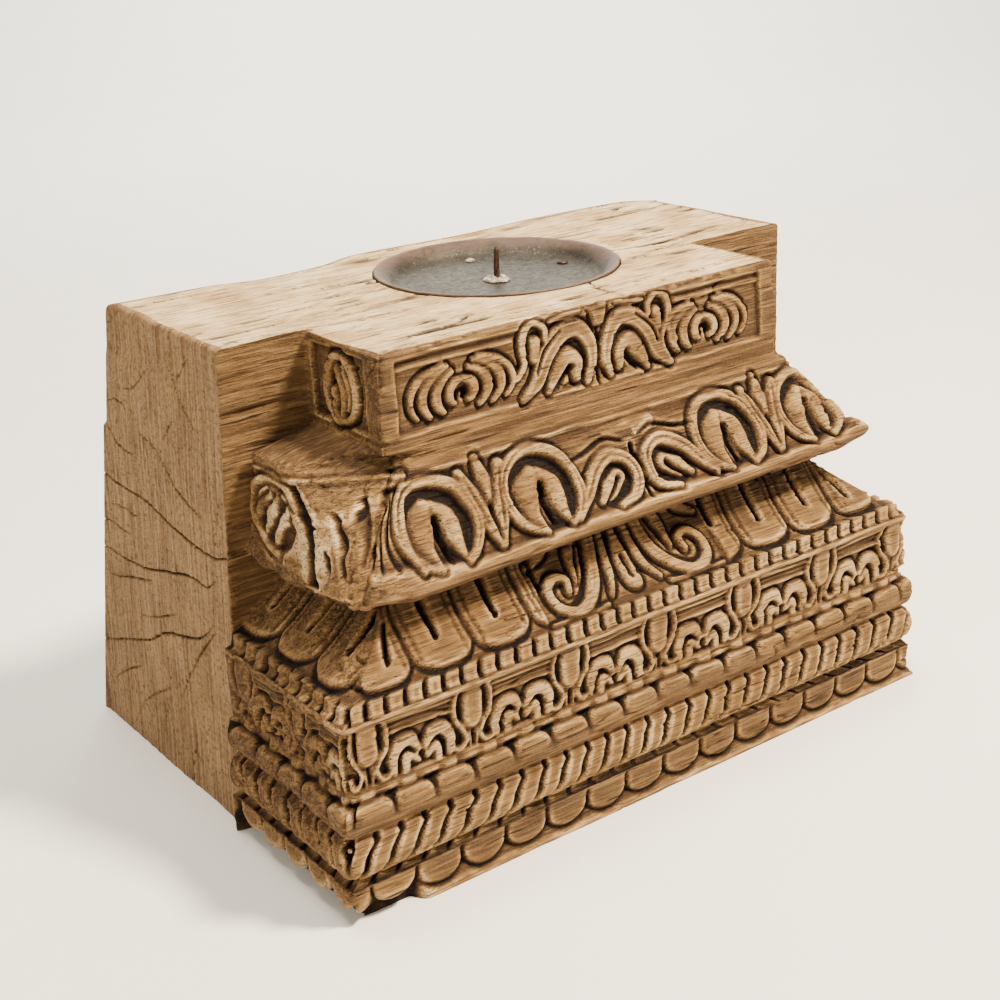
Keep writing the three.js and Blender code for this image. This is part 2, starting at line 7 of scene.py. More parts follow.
import bmesh
import bpy
import numpy as np
from bpy.props import FloatProperty, FloatVectorProperty, IntProperty, PointerProperty
from mathutils import Matrix, Vector, kdtree
from mathutils.geometry import delaunay_2d_cdt
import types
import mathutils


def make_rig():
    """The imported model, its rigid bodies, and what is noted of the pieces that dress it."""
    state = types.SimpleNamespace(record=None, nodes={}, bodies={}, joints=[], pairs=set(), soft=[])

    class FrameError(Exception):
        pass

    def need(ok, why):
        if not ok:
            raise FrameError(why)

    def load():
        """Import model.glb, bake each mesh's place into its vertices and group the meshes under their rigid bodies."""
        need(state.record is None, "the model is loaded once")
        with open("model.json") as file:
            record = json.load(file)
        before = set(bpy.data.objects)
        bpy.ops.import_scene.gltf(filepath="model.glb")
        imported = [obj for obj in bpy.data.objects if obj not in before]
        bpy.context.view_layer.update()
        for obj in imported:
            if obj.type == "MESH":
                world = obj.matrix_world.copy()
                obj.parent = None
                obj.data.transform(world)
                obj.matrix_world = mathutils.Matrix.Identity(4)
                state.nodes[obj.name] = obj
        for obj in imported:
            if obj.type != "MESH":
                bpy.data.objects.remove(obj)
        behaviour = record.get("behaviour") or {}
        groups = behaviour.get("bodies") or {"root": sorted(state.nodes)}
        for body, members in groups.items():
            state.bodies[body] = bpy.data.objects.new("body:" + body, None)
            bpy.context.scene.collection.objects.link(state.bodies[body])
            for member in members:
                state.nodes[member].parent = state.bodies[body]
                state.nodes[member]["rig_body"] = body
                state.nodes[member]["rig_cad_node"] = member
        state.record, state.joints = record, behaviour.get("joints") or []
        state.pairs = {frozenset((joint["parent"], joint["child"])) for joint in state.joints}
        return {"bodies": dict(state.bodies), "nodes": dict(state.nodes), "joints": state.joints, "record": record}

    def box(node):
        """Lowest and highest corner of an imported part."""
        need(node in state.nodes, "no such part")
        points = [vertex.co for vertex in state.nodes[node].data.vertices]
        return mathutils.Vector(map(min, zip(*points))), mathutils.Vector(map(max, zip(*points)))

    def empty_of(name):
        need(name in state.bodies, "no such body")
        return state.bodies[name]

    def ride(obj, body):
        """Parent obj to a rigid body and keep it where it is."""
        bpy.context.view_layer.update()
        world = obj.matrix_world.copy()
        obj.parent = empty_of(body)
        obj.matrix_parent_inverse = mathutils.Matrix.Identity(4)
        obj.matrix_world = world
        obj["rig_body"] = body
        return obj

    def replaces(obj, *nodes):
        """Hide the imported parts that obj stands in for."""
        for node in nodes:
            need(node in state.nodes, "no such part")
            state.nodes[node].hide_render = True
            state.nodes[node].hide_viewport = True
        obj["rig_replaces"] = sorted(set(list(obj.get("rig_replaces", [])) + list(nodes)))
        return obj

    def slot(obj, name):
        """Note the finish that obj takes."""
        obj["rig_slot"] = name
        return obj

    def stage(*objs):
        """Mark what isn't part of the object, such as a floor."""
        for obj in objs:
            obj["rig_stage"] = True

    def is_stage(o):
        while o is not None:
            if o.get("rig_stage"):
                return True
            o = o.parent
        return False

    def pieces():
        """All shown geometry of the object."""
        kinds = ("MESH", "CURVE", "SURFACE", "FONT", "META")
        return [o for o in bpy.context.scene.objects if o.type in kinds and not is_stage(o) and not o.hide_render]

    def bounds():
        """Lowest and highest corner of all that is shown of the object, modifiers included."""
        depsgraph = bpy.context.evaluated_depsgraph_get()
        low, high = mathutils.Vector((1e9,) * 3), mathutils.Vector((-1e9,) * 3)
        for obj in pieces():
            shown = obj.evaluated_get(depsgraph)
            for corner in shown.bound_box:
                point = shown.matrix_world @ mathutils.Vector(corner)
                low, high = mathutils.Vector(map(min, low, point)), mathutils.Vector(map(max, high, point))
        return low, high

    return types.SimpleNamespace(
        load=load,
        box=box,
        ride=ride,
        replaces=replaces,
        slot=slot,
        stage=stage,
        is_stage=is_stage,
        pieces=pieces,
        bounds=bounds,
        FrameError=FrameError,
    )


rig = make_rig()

bl_info = {
    "name": "Carved block candle holder",
    "version": (1, 0, 0),
    "blender": (4, 5, 0),
    "location": "3D View > Sidebar > Candle holder",
    "description": "Builds a carved timber block with a spiked steel candle dish in its top",
    "category": "Add Mesh",
}

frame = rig.load()
cad_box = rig.bounds()

MM = 0.001
BLOCK_LOW, BLOCK_HIGH = (np.array(corner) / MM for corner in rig.box("carved_block"))
DISH_LOW, DISH_HIGH = (np.array(corner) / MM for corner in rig.box("candle_dish"))
SPIKE_LOW, SPIKE_HIGH = (np.array(corner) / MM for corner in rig.box("spike"))
DISH_MIDDLE, DISH_RADIUS = (DISH_LOW + DISH_HIGH)[:2] / 2, (DISH_HIGH[0] - DISH_LOW[0]) / 2
WELD_LOW, WELD_HIGH = (np.array(corner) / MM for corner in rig.box("spike_weld"))
TACKS = ("dish_tack_1", "dish_tack_2")

LENGTH, DEPTH, HEIGHT = BLOCK_HIGH - BLOCK_LOW
HALF = LENGTH / 2
FRONT = BLOCK_LOW[1]
BACK = BLOCK_HIGH[1]

# The plain core behind the carving: how its sawn ends and back stand and lean, in millimetres
LEFT_INSET, LEFT_LEAN = 2.7, 10
RIGHT_INSET, RIGHT_LEAN = 0.5, 0.5
BACK_LEAN = 30.5
CORE_FRONT = 76
CORE_Y = FRONT + CORE_FRONT
RETURN_RATIO = 1.33

# Heights at which the bands of carving start, from the foot up
ROPE_FOOT, SCALE_FOOT, SCALE_TOP, FRIEZE_FOOT = 15, 30, 43.2, 44.6
SHELF_FOOT, LEAF_FOOT, LEAF_TOP, SLAB_FOOT = 66, 74, 100.4, 102.4
LEDGE_LOW, LEDGE_HIGH = 133.6, 138
TOP_CELL, FOOT_CELL = 1.15, 6   # spacing of the points that fill the flat top and the foot
LIP_SAG = 2.6            # how far the slab's lip hangs or lifts at its ends
TOP_ROUND = 2.2          # how far down the core's top edge is rounded
PITH = (84, 88)          # the heart of the tree on the sawn ends: back from the front, and up

FRONT_SIDE, LEFT_SIDE, RIGHT_SIDE = 0, -1, 1


# ---- settings -----------------------------------------------------------------------------


def length_setting(name, text, default, low=0.0, high=200.0):
    """A length the user may change, given here in millimetres."""
    return FloatProperty(
        name=name,
        description=text,
        default=default * MM,
        min=low * MM,
        max=high * MM,
        precision=5,
        unit="LENGTH",
    )


def colour_setting(name, text, code):
    """A colour the user may change, given here as sRGB hex."""
    return FloatVectorProperty(
        name=name, description=text, subtype="COLOR", size=3, min=0, max=1, default=linear(code)
    )


def linear(code):
    """An sRGB hex colour as linear red, green and blue."""
    parts = [int(code[i : i + 2], 16) / 255 for i in (1, 3, 5)]
    return tuple(c / 12.92 if c <= 0.04045 else ((c + 0.055) / 1.055) ** 2.4 for c in parts)


def in_millimetres(group):
    """A group's settings by name, with its lengths in millimetres."""
    rules = group.bl_rna.properties
    sizes = {key: getattr(group, key) for key in rules.keys() if key not in {"rna_type", "name"}}
    for key in sizes:
        if rules[key].type == "FLOAT" and rules[key].unit == "LENGTH":
            sizes[key] = sizes[key] / MM
    return SimpleNamespace(**sizes)


class TimberSettings(bpy.types.PropertyGroup):
    cell: length_setting("Cell", "Spacing of the carved surface's points", 0.55, 0.3, 5)
    carving: FloatProperty(
        name="Carving", description="Strength of all the carving", default=1, min=0, max=1.5
    )
    scallop_pitch: length_setting("Scallop pitch", "Spacing of the foot's scallops", 17.33, 5)
    rope_pitch: length_setting("Rope pitch", "Spacing of the rope's strands", 9.55, 3)
    scale_pitch: length_setting("Scale pitch", "Spacing of the scale row's lobes", 15.5, 5)
    frieze_pitch: length_setting("Frieze pitch", "Spacing of the frieze's tongues", 39.4, 10)
    dentil_pitch: length_setting("Dentil pitch", "Spacing of the dentils", 7.1, 2)
    leaf_pitch: length_setting("Leaf pitch", "Spacing of the big leaves", 23.4, 8)
    loop_pitch: length_setting("Loop pitch", "Spacing of the slab's horseshoe loops", 41.2, 15)
    seed: IntProperty(name="Seed", description="Start of the hand carver's unevenness", default=7)
    # Straw is the weathered top's colour, and on the carving's crests it is partly painted highlight.
    straw: colour_setting("Straw", "Bleached top and worn edges", "#ead0a2")
    honey: colour_setting("Honey", "Carved wood in the light", "#694b2b")
    # Umber is the deepest painted shade in the carving's cuts, along with old dirt.
    umber: colour_setting("Umber", "Old dirt in the carving's recesses", "#170a03")


class DishSettings(bpy.types.PropertyGroup):
    sheet: length_setting("Sheet", "Thickness of the dish's steel", 1.2, 0.3, 5)
    side: length_setting("Side", "Width of the sloping side", 7.8, 1)
    patina: colour_setting("Patina", "Grey patina on the dish's floor", "#2c2822")
    rust: colour_setting("Rust", "Brown rust on the dish's side", "#432a1c")


class SpikeSettings(bpy.types.PropertyGroup):
    width: length_setting("Width", "Width of the cut nail", 2.0, 0.5, 10)
    crust: colour_setting("Crust", "Weld crust round the nail's foot", "#a39a8a")


class StageSettings(bpy.types.PropertyGroup):
    lens: FloatProperty(
        name="Lens", description="Focal length", default=58.95, min=20, max=200, subtype="DISTANCE_CAMERA"
    )
    floor: colour_setting("Floor", "Plain pale floor and backdrop", "#eeebe4")


# ---- shapes laid flat: curves and the relief they carve -----------------------------------


def smooth(share):
    """A share from 0 to 1 that leaves and arrives gently."""
    share = np.clip(share, 0, 1)
    return share * share * (3 - 2 * share)


def curve(points, steps=7):
    """A smooth line through the points."""
    p = np.array(points, float)
    if len(p) < 3:
        return p
    ends = np.vstack([2 * p[0] - p[1], p, 2 * p[-1] - p[-2]])
    t = np.linspace(0, 1, steps, endpoint=False)[:, None]
    line = []
    for a, b, c, d in zip(ends, ends[1:], ends[2:], ends[3:]):
        line.append(
            0.5 * (2 * b + (c - a) * t + (2 * a - 5 * b + 4 * c - d) * t**2 + (3 * b - a - 3 * c + d) * t**3)
        )
    return np.vstack([*line, p[-1:]])


def scroll(x, y, radii, turns, steps=26):
    """An arc round (x, y) whose radius runs through radii as its angle runs between two turns, in degrees."""
    share = np.linspace(0, 1, steps)
    angle = np.radians(turns[0] + (turns[1] - turns[0]) * share)
    radius = np.interp(share, np.linspace(0, 1, len(radii)), radii)
    return np.stack([x + radius * np.cos(angle), y + radius * np.sin(angle)], 1)


def drawn(points, x, side):
    """A smooth line through points drawn for the right of x, put on that side of it."""
    return curve([(x + side * px, py) for px, py in points])


def lattice(i, j, k, seed):
    """A fixed random number from 0 to 1 for each whole-numbered place."""
    n = i * 374761393 + j * 668265263 + k * 1442695041 + seed * 974634777
    n = (n ^ (n >> 13)) * 1274126177 & 0xFFFFFFFF
    n = (n ^ (n >> 16)) & 0xFFFF
    return n / 65535


def noise(x, y, z, sizes, seed, octaves=2):
    """Smooth seeded unevenness from -1 to 1, whose lumps are sizes mm long each way."""
    total, weight = 0, 0
    x, y, z = np.broadcast_arrays(*(np.asarray(v, float) / s for v, s in zip((x, y, z), sizes)))
    for octave in range(octaves):
        cell = [np.floor(v).astype(np.int64) for v in (x, y, z)]
        part = [smooth(v - c) for v, c in zip((x, y, z), cell)]
        value = 0
        for dx in (0, 1):
            for dy in (0, 1):
                for dz in (0, 1):
                    near = np.where(dx, part[0], 1 - part[0])
                    near = near * np.where(dy, part[1], 1 - part[1])
                    near = near * np.where(dz, part[2], 1 - part[2])
                    value = value + near * lattice(cell[0] + dx, cell[1] + dy, cell[2] + dz, seed + octave)
        total = total + value / 2**octave
        weight += 1 / 2**octave
        x, y, z = x * 2.03, y * 2.03, z * 2.03
    return 2 * total / weight - 1


class Relief:
    """A face laid flat: places along it and up it, the field the carving stands on, and its cuts."""

    def __init__(self, along, up):
        self.along, self.up = along, up
        self.top = 0.0                        # height of the highest carving
        self.field = np.zeros(along.shape)    # height of the plain field between the carving
        self.stands = np.zeros(along.shape)   # height of the beads and lobes
        self.trench = np.zeros(along.shape)   # how far the field is cut down beside them
        self.cuts = np.zeros(along.shape)

    def near(self, path, reach):
        """The places within reach of a path, how far off it each is, and how far along it."""
        low, high = path.min(0) - reach, path.max(0) + reach
        spot = np.nonzero(
            (self.along > low[0]) & (self.along < high[0]) & (self.up > low[1]) & (self.up < high[1])
        )
        places = np.stack([self.along[spot], self.up[spot]], 1)
        start, step = path[:-1], np.diff(path, axis=0)
        length = np.sqrt((step**2).sum(1)) + 1e-6
        share = np.clip(((places[:, None] - start) * step).sum(2) / length**2, 0, 1)
        far = ((places[:, None] - start - share[..., None] * step) ** 2).sum(2)
        best = far.argmin(1)
        row = np.arange(len(places))
        run = np.concatenate([[0], np.cumsum(length)])
        return spot, np.sqrt(far[row, best]), (run[best] + share[row, best] * length[best]) / run[-1]

    def bead(self, path, widths, height, crown=2.6, gap=1.5, sunk=1.7):
        """A raised strap or lobe with a rounded back along the path, in a narrow trench."""
        path = np.array(path, float)
        spot, far, run = self.near(path, max(widths) / 2 + gap)
        half = np.interp(run, np.linspace(0, 1, len(widths)), widths) / 2
        rise = height * np.clip(1 - (far / half) ** crown, 0, 1) ** 0.5
        self.stands[spot] = np.maximum(self.stands[spot], rise)
        cut = sunk * (1 - smooth((far - half) / gap))
        self.trench[spot] = np.maximum(self.trench[spot], cut)

    def gouge(self, path, widths, depth, crown=2.0):
        """A cut with a round bottom along the path."""
        path = np.array(path, float)
        spot, far, run = self.near(path, max(widths) / 2)
        half = np.interp(run, np.linspace(0, 1, len(widths)), widths) / 2
        cut = depth * np.clip(1 - (far / half) ** crown, 0, 1)
        self.cuts[spot] = np.maximum(self.cuts[spot], cut)

    def dish_out(self, x, up, across, tall, depth):
        """Lowers the field in an oval hollow."""
        far = np.hypot((self.along - x) / across, (self.up - up) / tall)
        self.trench = np.maximum(self.trench, depth * (1 - smooth((far - 0.75) / 0.3)))

    def depth(self):
        """How deep the surface lies below the highest carving."""
        field = np.maximum(self.field - self.trench, 0)
        return np.maximum(self.top - np.maximum(self.stands, field), 0) + self.cuts


# ---- the bands of carving, from the foot up -----------------------------------------------
# Every carver takes the flat face, its side and the settings, and is drawn in millimetres.


def tabs(along, pitch, phase=0.0):
    """Where each place lies across its tab: -1 and 1 at the two notches, 0 in the middle."""
    share = along / pitch + phase
    return 2 * (share - np.floor(share)) - 1


def carve_scallops(r, side, s):
    """Hanging scallops over a thin flange, which is broken away at the left corner."""
    pitch = s.scallop_pitch if side == FRONT_SIDE else 14.9
    across = tabs(r.along, pitch)
    lost = smooth((-r.along - 101) / 5) if side == FRONT_SIDE else float(side == LEFT_SIDE)
    foot = 2.3 + 1.6 * lost
    edge = foot + 7.6 * (1 - np.sqrt(np.clip(1 - np.abs(across) ** 2.2, 0, 1)))
    inside = r.up - edge
    tab = 1.0 + 1.5 * (1 - smooth(inside / 2.0)) ** 1.5 + 0.4 * across**4
    hollow = 3.6 * np.clip((r.up - 1.8) / 6.5, 0, 1) ** 0.8
    hollow = hollow + 1.1 * np.exp(-((inside / 0.8) ** 2))
    hollow = hollow * (1 - lost) + lost * (5.5 - 2.5 * smooth((r.up - foot) / 5))
    notch = 1.7 * np.exp(-(((1 - np.abs(across)) * pitch / 2 / 0.5) ** 2))
    notch *= smooth((r.up - foot - 2.5) / 2) * smooth((13.4 - r.up) / 1.5)
    blend = smooth((inside + 0.35) / 0.7)
    r.cuts += tab * blend + hollow * (1 - blend) + notch
    r.cuts += 2.0 * np.exp(-(((r.up - 15) / 0.8) ** 2))


def carve_rope(r, side, s):
    """Twisted strands, with deep S-shaped gaps that lean to the right."""
    t = np.clip((r.up - 0.7) / 13.6, 0, 1)
    if side == FRONT_SIDE:
        lean = np.interp(r.along, (-130, -60, -10, 130), (9.5, 9, 6.2, 5.8))
    else:
        lean = -7.5 * side
    swing = t + 0.10 * np.sin(2 * math.pi * t)
    across = tabs(r.along - lean * swing, s.rope_pitch, 0.3)
    gap = (1 - np.abs(across)) * s.rope_pitch / 2
    wide = 0.6 + 0.5 * np.sin(math.pi * np.clip(t, 0.02, 0.98)) ** 0.7
    r.cuts += 2.8 * np.clip(1 - (gap / wide) ** 2, 0, 1) ** 0.8 + 1.1 * np.abs(across) ** 4


def carve_scales(r, side, s):
    """A row of overlapping domed lobes, with pointed pockets between their tops, under a fillet."""
    across = tabs(r.along, s.scale_pitch, 0.12)
    side_on = np.where(across > 0, 1.0, 0.72)
    climb = np.clip((r.up - 4.2) / 9.2, 0, 1)
    lobe = 1 - 0.68 * (1 - (1 - climb**2.6) ** (1 / 2.6)) * side_on
    out = (np.abs(across) - lobe) * s.scale_pitch / 2
    pocket = 3.0 * smooth((out + 0.3) / 0.9) * (r.up < 13.2) * smooth((r.up - 4.2) / 1.2)
    dome = 1.2 * np.clip(np.abs(across) / lobe, 0, 1) ** 3 * smooth((r.up - 3) / 4)
    r.cuts += pocket + dome + 1.6 * np.exp(-(((r.up - 13.3) / 0.5) ** 2))


def carve_frieze(r, side, s):
    """Tongues in lyre-shaped straps, pairs of curled leaves between them, and reeds above."""
    r.top = 3.4
    r.field += 1.5
    reach = (-3, -2, -1, 0, 1, 2, 3) if side == FRONT_SIDE else (0, 1, 2)
    start = 0.6 if side == FRONT_SIDE else -2
    pitch = s.frieze_pitch if side == FRONT_SIDE else 35
    for up, height, half in ((16.0, 2.7, 0.9), (18.2, 2.3, 0.8), (20.4, 3.2, 1.0)):
        ridge = height * np.clip(1 - np.abs((r.up - up) / half) ** 2.4, 0, 1)
        r.stands = np.maximum(r.stands, ridge)
    for k in reach:
        x = start + k * pitch
        around = np.clip(1 - (np.abs(r.along - x) / 8.0) ** 6, 0, 1) * (r.up > 3) * (r.up < 23)
        r.stands *= 1 - around
    for k in reach:
        x = start + k * pitch
        r.bead([(x, 11.5), (x, 19)], (9.2, 9.8), 3.5, 3.4, 1.1)
        for hand in (-1, 1):
            strap = [(6.2, 21.4), (7.4, 17), (6.6, 12.0), (4.0, 8.4)]
            strap += [(2.9, 5.2), (4.4, 2.0), (7.4, 2.2), (8.4, 5.0)]
            r.bead(drawn(strap, x, hand), (2.4, 2.6, 2.6, 2.0), 3.2, 2.6, 0.9)
            r.bead(drawn([(1.3, 7.0), (1.3, 1.4)], x, hand), (2.0, 1.6), 2.6, 2.6, 0.6)
    for k in reach:
        x = start + (k + 0.5) * pitch
        for hand in (-1, 1):
            outer = [(1.4, 7.6), (4.0, 11.4), (8.2, 11.2), (10.8, 7.4), (10.4, 2.4)]
            r.bead(drawn(outer, x, hand), (3.4, 5.8, 6.0, 5.4, 3.6), 3.2, 3.0, 0.9)
            inner = [(1.8, 3.4), (3.6, 5.6), (5.4, 5.4), (6.2, 1.6)]
            r.bead(drawn(inner, x, hand), (2.6, 4.4, 4.8, 4.4), 2.9, 3.0, 0.5)
            cut = [(2.8, 7.0), (5.6, 8.8), (8.0, 7.0), (8.4, 1.6)]
            r.gouge(drawn(cut, x, hand), (0.8, 1.2, 0.9), 2.0)
        r.bead(scroll(x, 5.2, (2.5, 1.1), (250, -40)), (1.6, 1.3), 3.0, 2.4, 0.7)
    edge = 2.6 * np.clip(1 - np.abs((r.up - 0.4) / 1.0) ** 2, 0, 1)
    r.stands = np.maximum(r.stands, edge)


def carve_dentils(r, side, s):
    """A plain light shelf, and a row of small blocks above it."""
    across = tabs(r.along - 0.16 * (r.up - 3), s.dentil_pitch, 0.4)
    gap = (1 - np.abs(across)) * s.dentil_pitch / 2
    above = smooth((r.up - 3.1) / 0.5)
    r.cuts += 2.3 * above * smooth((1.05 - gap) / 0.6) + 0.5 * above * np.abs(across) ** 3
    r.cuts += 1.2 * np.exp(-(((r.up - 3.2) / 0.4) ** 2)) + 0.7 * np.exp(-(((r.up - 0.2) / 0.4) ** 2))


def carve_leaves(r, side, s):
    """Big slotted leaves with round feet; on the front, scrolls and a drop between them."""
    mid = -2.6
    if side == FRONT_SIDE:
        centres = [sign * (35.4 + k * s.leaf_pitch) for sign in (-1, 1) for k in range(4)]
    else:
        centres = [24.5 + k * s.leaf_pitch for k in range(3)]
    half = s.leaf_pitch / 2
    nearest = np.argmin([np.abs(r.along - c) for c in centres], 0)
    across = np.clip((r.along - np.array(centres)[nearest]) / half, -1, 1)
    r.top = 3.2
    r.field += 1.5
    foot = 0.6 + 7.4 * (1 - np.sqrt(np.clip(1 - np.abs(across) ** 2.1, 0, 1)))
    above = r.up - foot
    inside = smooth((above + 0.3) / 0.7)
    leaf = 3.2 - 1.1 * np.abs(across) ** 4 - 0.8 * (1 - smooth(above / 2.0))
    side_gap = (1 - np.abs(across)) * half
    leaf -= 0.9 * np.exp(-(((side_gap - 3.2) / 0.5) ** 2)) * smooth(above / 3)
    leaf -= 2.4 * np.exp(-((side_gap / (0.5 + 0.02 * np.clip(20 - r.up, 0, 20))) ** 2))
    plain = np.ones(r.along.shape) if side else smooth((np.abs(r.along - mid) - 39) / 1.2)
    r.stands = np.maximum(r.stands, leaf * inside * plain)
    r.trench = np.maximum(r.trench, 1.5 * (1 - smooth((np.abs(above + 0.7) - 0.2) / 0.9)) * plain)
    for c in centres:
        if side == FRONT_SIDE and abs(c) < 40:
            r.gouge([(c + 3 * np.sign(c), 15), (c + 3 * np.sign(c), 34)], (2.0, 3.0), 4.4)
        elif side == FRONT_SIDE and abs(c) > 100:
            r.gouge([(c - 3.6 * np.sign(c), 8), (c - 7.4 * np.sign(c), 20)], (1.4, 2.2, 1.8), 3.4, 4)
        else:
            r.gouge([(c, 11), (c - 0.6, 34)], (1.6, 2.8, 3.0), 4.6, 4)
    if side != FRONT_SIDE:
        return
    for hand in (-1, 1):
        stem = [(9.5, 34), (10.5, 25), (13.5, 14), (19, 6), (26, 2.6)]
        stem += [(32.6, 5.8), (34.0, 12), (30, 16.4), (25.6, 14.6), (26, 10.4)]
        r.bead(drawn(stem, mid, hand), (5, 6, 5.6, 5, 4.6, 4.2, 3.2), 3.5)
        lobe = [(15.5, 31), (20, 22), (21.4, 13)]
        r.bead(drawn(lobe, mid, hand), (4, 5.4, 2.0), 2.8)
        fan = [(27, 33), (30, 26), (37.5, 22)]
        r.bead(drawn(fan, mid, hand), (4, 5, 2.6), 2.4)
        petal = [(4.6, 34), (5.6, 24), (7.2, 12), (11.0, 4.5)]
        r.bead(drawn(petal, mid, hand), (2.8, 4.0, 4.4, 2.4), 2.9)
        r.bead(drawn([(14, 2.0), (20, 1.0), (38, 1.4)], mid, hand), (2.2,), 2.2)
        vein = [(12.5, 30), (15.6, 17), (21, 9.6), (27, 6)]
        r.gouge(drawn(vein, mid, hand), (1.4, 1.6, 0.8), 2.0)
    r.bead([(mid, 7.0), (mid, 14), (mid, 26)], (8.6, 7.6, 2.6), 3.4, 2.2)
    r.gouge([(mid, 8), (mid, 16)], (1.4, 2.6), 2.4)


def carve_slab(r, side, s):
    """Nested horseshoe loops with spears between them, and leaf scrolls in the middle."""
    thick = 3.6 + (4.5 * smooth((-r.along - 58) / 30) if side == FRONT_SIDE else 1.0)
    r.top = 3.6
    r.field += 1.7 + 1.9 * smooth((thick - r.up) / 2.4) + 1.7 * smooth((r.up - 30.6) / 1.4)
    r.cuts += 1.1 * np.exp(-(((r.up - 31.6) / 0.5) ** 2)) + 0.9 * np.exp(-(((r.up - 34.0) / 0.5) ** 2))
    if side == LEFT_SIDE:
        return carve_worn_end(r)
    if side == FRONT_SIDE:
        mid = 8.0
        loops = [mid + sign * s.loop_pitch * (k + 1) for sign in (-1, 1) for k in (0, 1)]
        spears = [mid + sign * s.loop_pitch * 1.5 for sign in (-1, 1)]
        spears.append(mid + s.loop_pitch * 2.55)
    else:
        mid, loops, spears = None, [44.0], [24.0, 64.0]
    for x in loops:
        r.dish_out(x - 0.5, 15.5, 13.5, 13.5, 1.9)
        outer = [(-3.4, 3.4), (-8.6, 5.6), (-13.2, 10.8), (-14.8, 18), (-12.2, 25.4), (-5.6, 30.0)]
        outer += [(2.8, 30.2), (9.8, 26.4), (13.8, 19), (14.2, 11.6), (11.4, 6.0), (7.4, 3.4)]
        r.bead(curve([(x + a, b) for a, b in outer]), (3.0, 4.2, 4.6, 4.8, 4.8, 4.8, 4.4, 3.4), 3.8, 2.6, 0.9)
        r.gouge(curve([(x + a, b) for a, b in outer[1:-1]]), (0.7, 1.0, 1.0, 0.7), 0.7)
        left = [(-3.8, 5.2), (-6.8, 10.6), (-6.2, 17.6), (-2.4, 22.6)]
        r.bead(curve([(x + a, b) for a, b in left]), (3.2, 9.4, 11.4, 6.4), 3.0, 2.0, 0.8)
        right = [(0.2, 22.4), (4.6, 17.6), (5.4, 10.4), (6.6, 5.2)]
        r.bead(curve([(x + a, b) for a, b in right]), (4.8, 7.4, 6.8, 3.4), 2.7, 2.0, 0.8)
        r.gouge(curve([(x + 0.2, 18.4), (x + 0.0, 12), (x + 1.8, 5.0)]), (2.6, 1.6, 1.4), 3.2)
    for x in spears:
        for hand in (-1, 1):
            blade = [(0.6, 3.8), (2.2, 10), (4.8, 19), (7.6, 29.0)]
            r.bead(drawn(blade, x, hand), (3.0, 6.4, 8.0, 4.6), 3.5, 2.4, 1.0)
            r.gouge(drawn([(2.0, 8), (4.4, 18), (6.8, 27)], x, hand), (0.6, 1.1, 0.6), 1.0)
        r.bead(curve([(x, 17), (x + 0.4, 25), (x, 33.0)]), (1.8, 7.2, 3.6), 3.6, 2.6, 1.0)
        r.gouge([(x, 6), (x, 18)], (0.8, 1.4), 2.2)
    if side != FRONT_SIDE:
        return
    soft = np.exp(-(((r.along - mid) / 22) ** 2)) * smooth((r.up - 16) / 9)
    lumps = noise(r.along, r.up, 0, (9, 6, 9), 31)
    r.stands = np.maximum(r.stands, soft * (3.0 + 1.4 * lumps))
    for hand in (-1, 1):
        r.dish_out(mid + 13 * hand, 10.5, 9, 8, 2.4)
        leaf = [(31, 3.6), (25.5, 9.4), (19.4, 16.6), (11.4, 21.0)]
        leaf += [(4.6, 18.4), (2.8, 11), (6.2, 5.0), (13.4, 3.0)]
        r.bead(drawn(leaf, mid, hand), (3.0, 5.2, 6.0, 6.0, 5.4, 4.8, 4.2, 3.0), 3.9, 2.8, 1.1)
        r.gouge(drawn(leaf[1:-1], mid, hand), (0.8, 1.3, 0.8), 0.8)
        blade = [(20.4, 6.2), (14.8, 10.0), (10.2, 13.0)]
        r.bead(drawn(blade, mid, hand), (3.0, 8.2, 7.0), 3.0, 2.2, 1.0)
        r.gouge(drawn([(10.8, 12.4), (13.6, 9.2), (18.4, 5.6)], mid, hand), (2.8, 1.9, 0.8), 3.2)
        r.gouge(drawn([(27, 23), (20, 24), (11, 26.6), (3, 24.6)], mid, hand), (0.8, 1.8, 0.8), 2.6)
    r.bead([(mid + 4, 27), (mid + 9, 28)], (8.4, 7.6), 4.0)
    r.gouge([(mid, 3), (mid, 22)], (1.4, 2.2), 3.4)
    strap = [(-84.4, 4.6), (-87.4, 12), (-87.0, 22), (-82.4, 31.6)]
    r.bead(curve(strap), (3.6, 5.0, 5.0, 4.0), 3.6, 2.6, 1.0)
    r.bead(curve([(-82, 33.4), (-88, 32.2), (-95, 30.6)]), (5.0, 5.4, 5.0), 3.7, 2.6, 0.8)
    folds = [[(-92, 7), (-94.6, 16), (-91.4, 26)], [(-98.6, 7), (-99.6, 16), (-95.4, 24)]]
    folds.append([(-106, 8), (-104.4, 15)])
    for path in folds:
        r.gouge(curve(path), (1.6, 2.8, 1.2), 2.6)


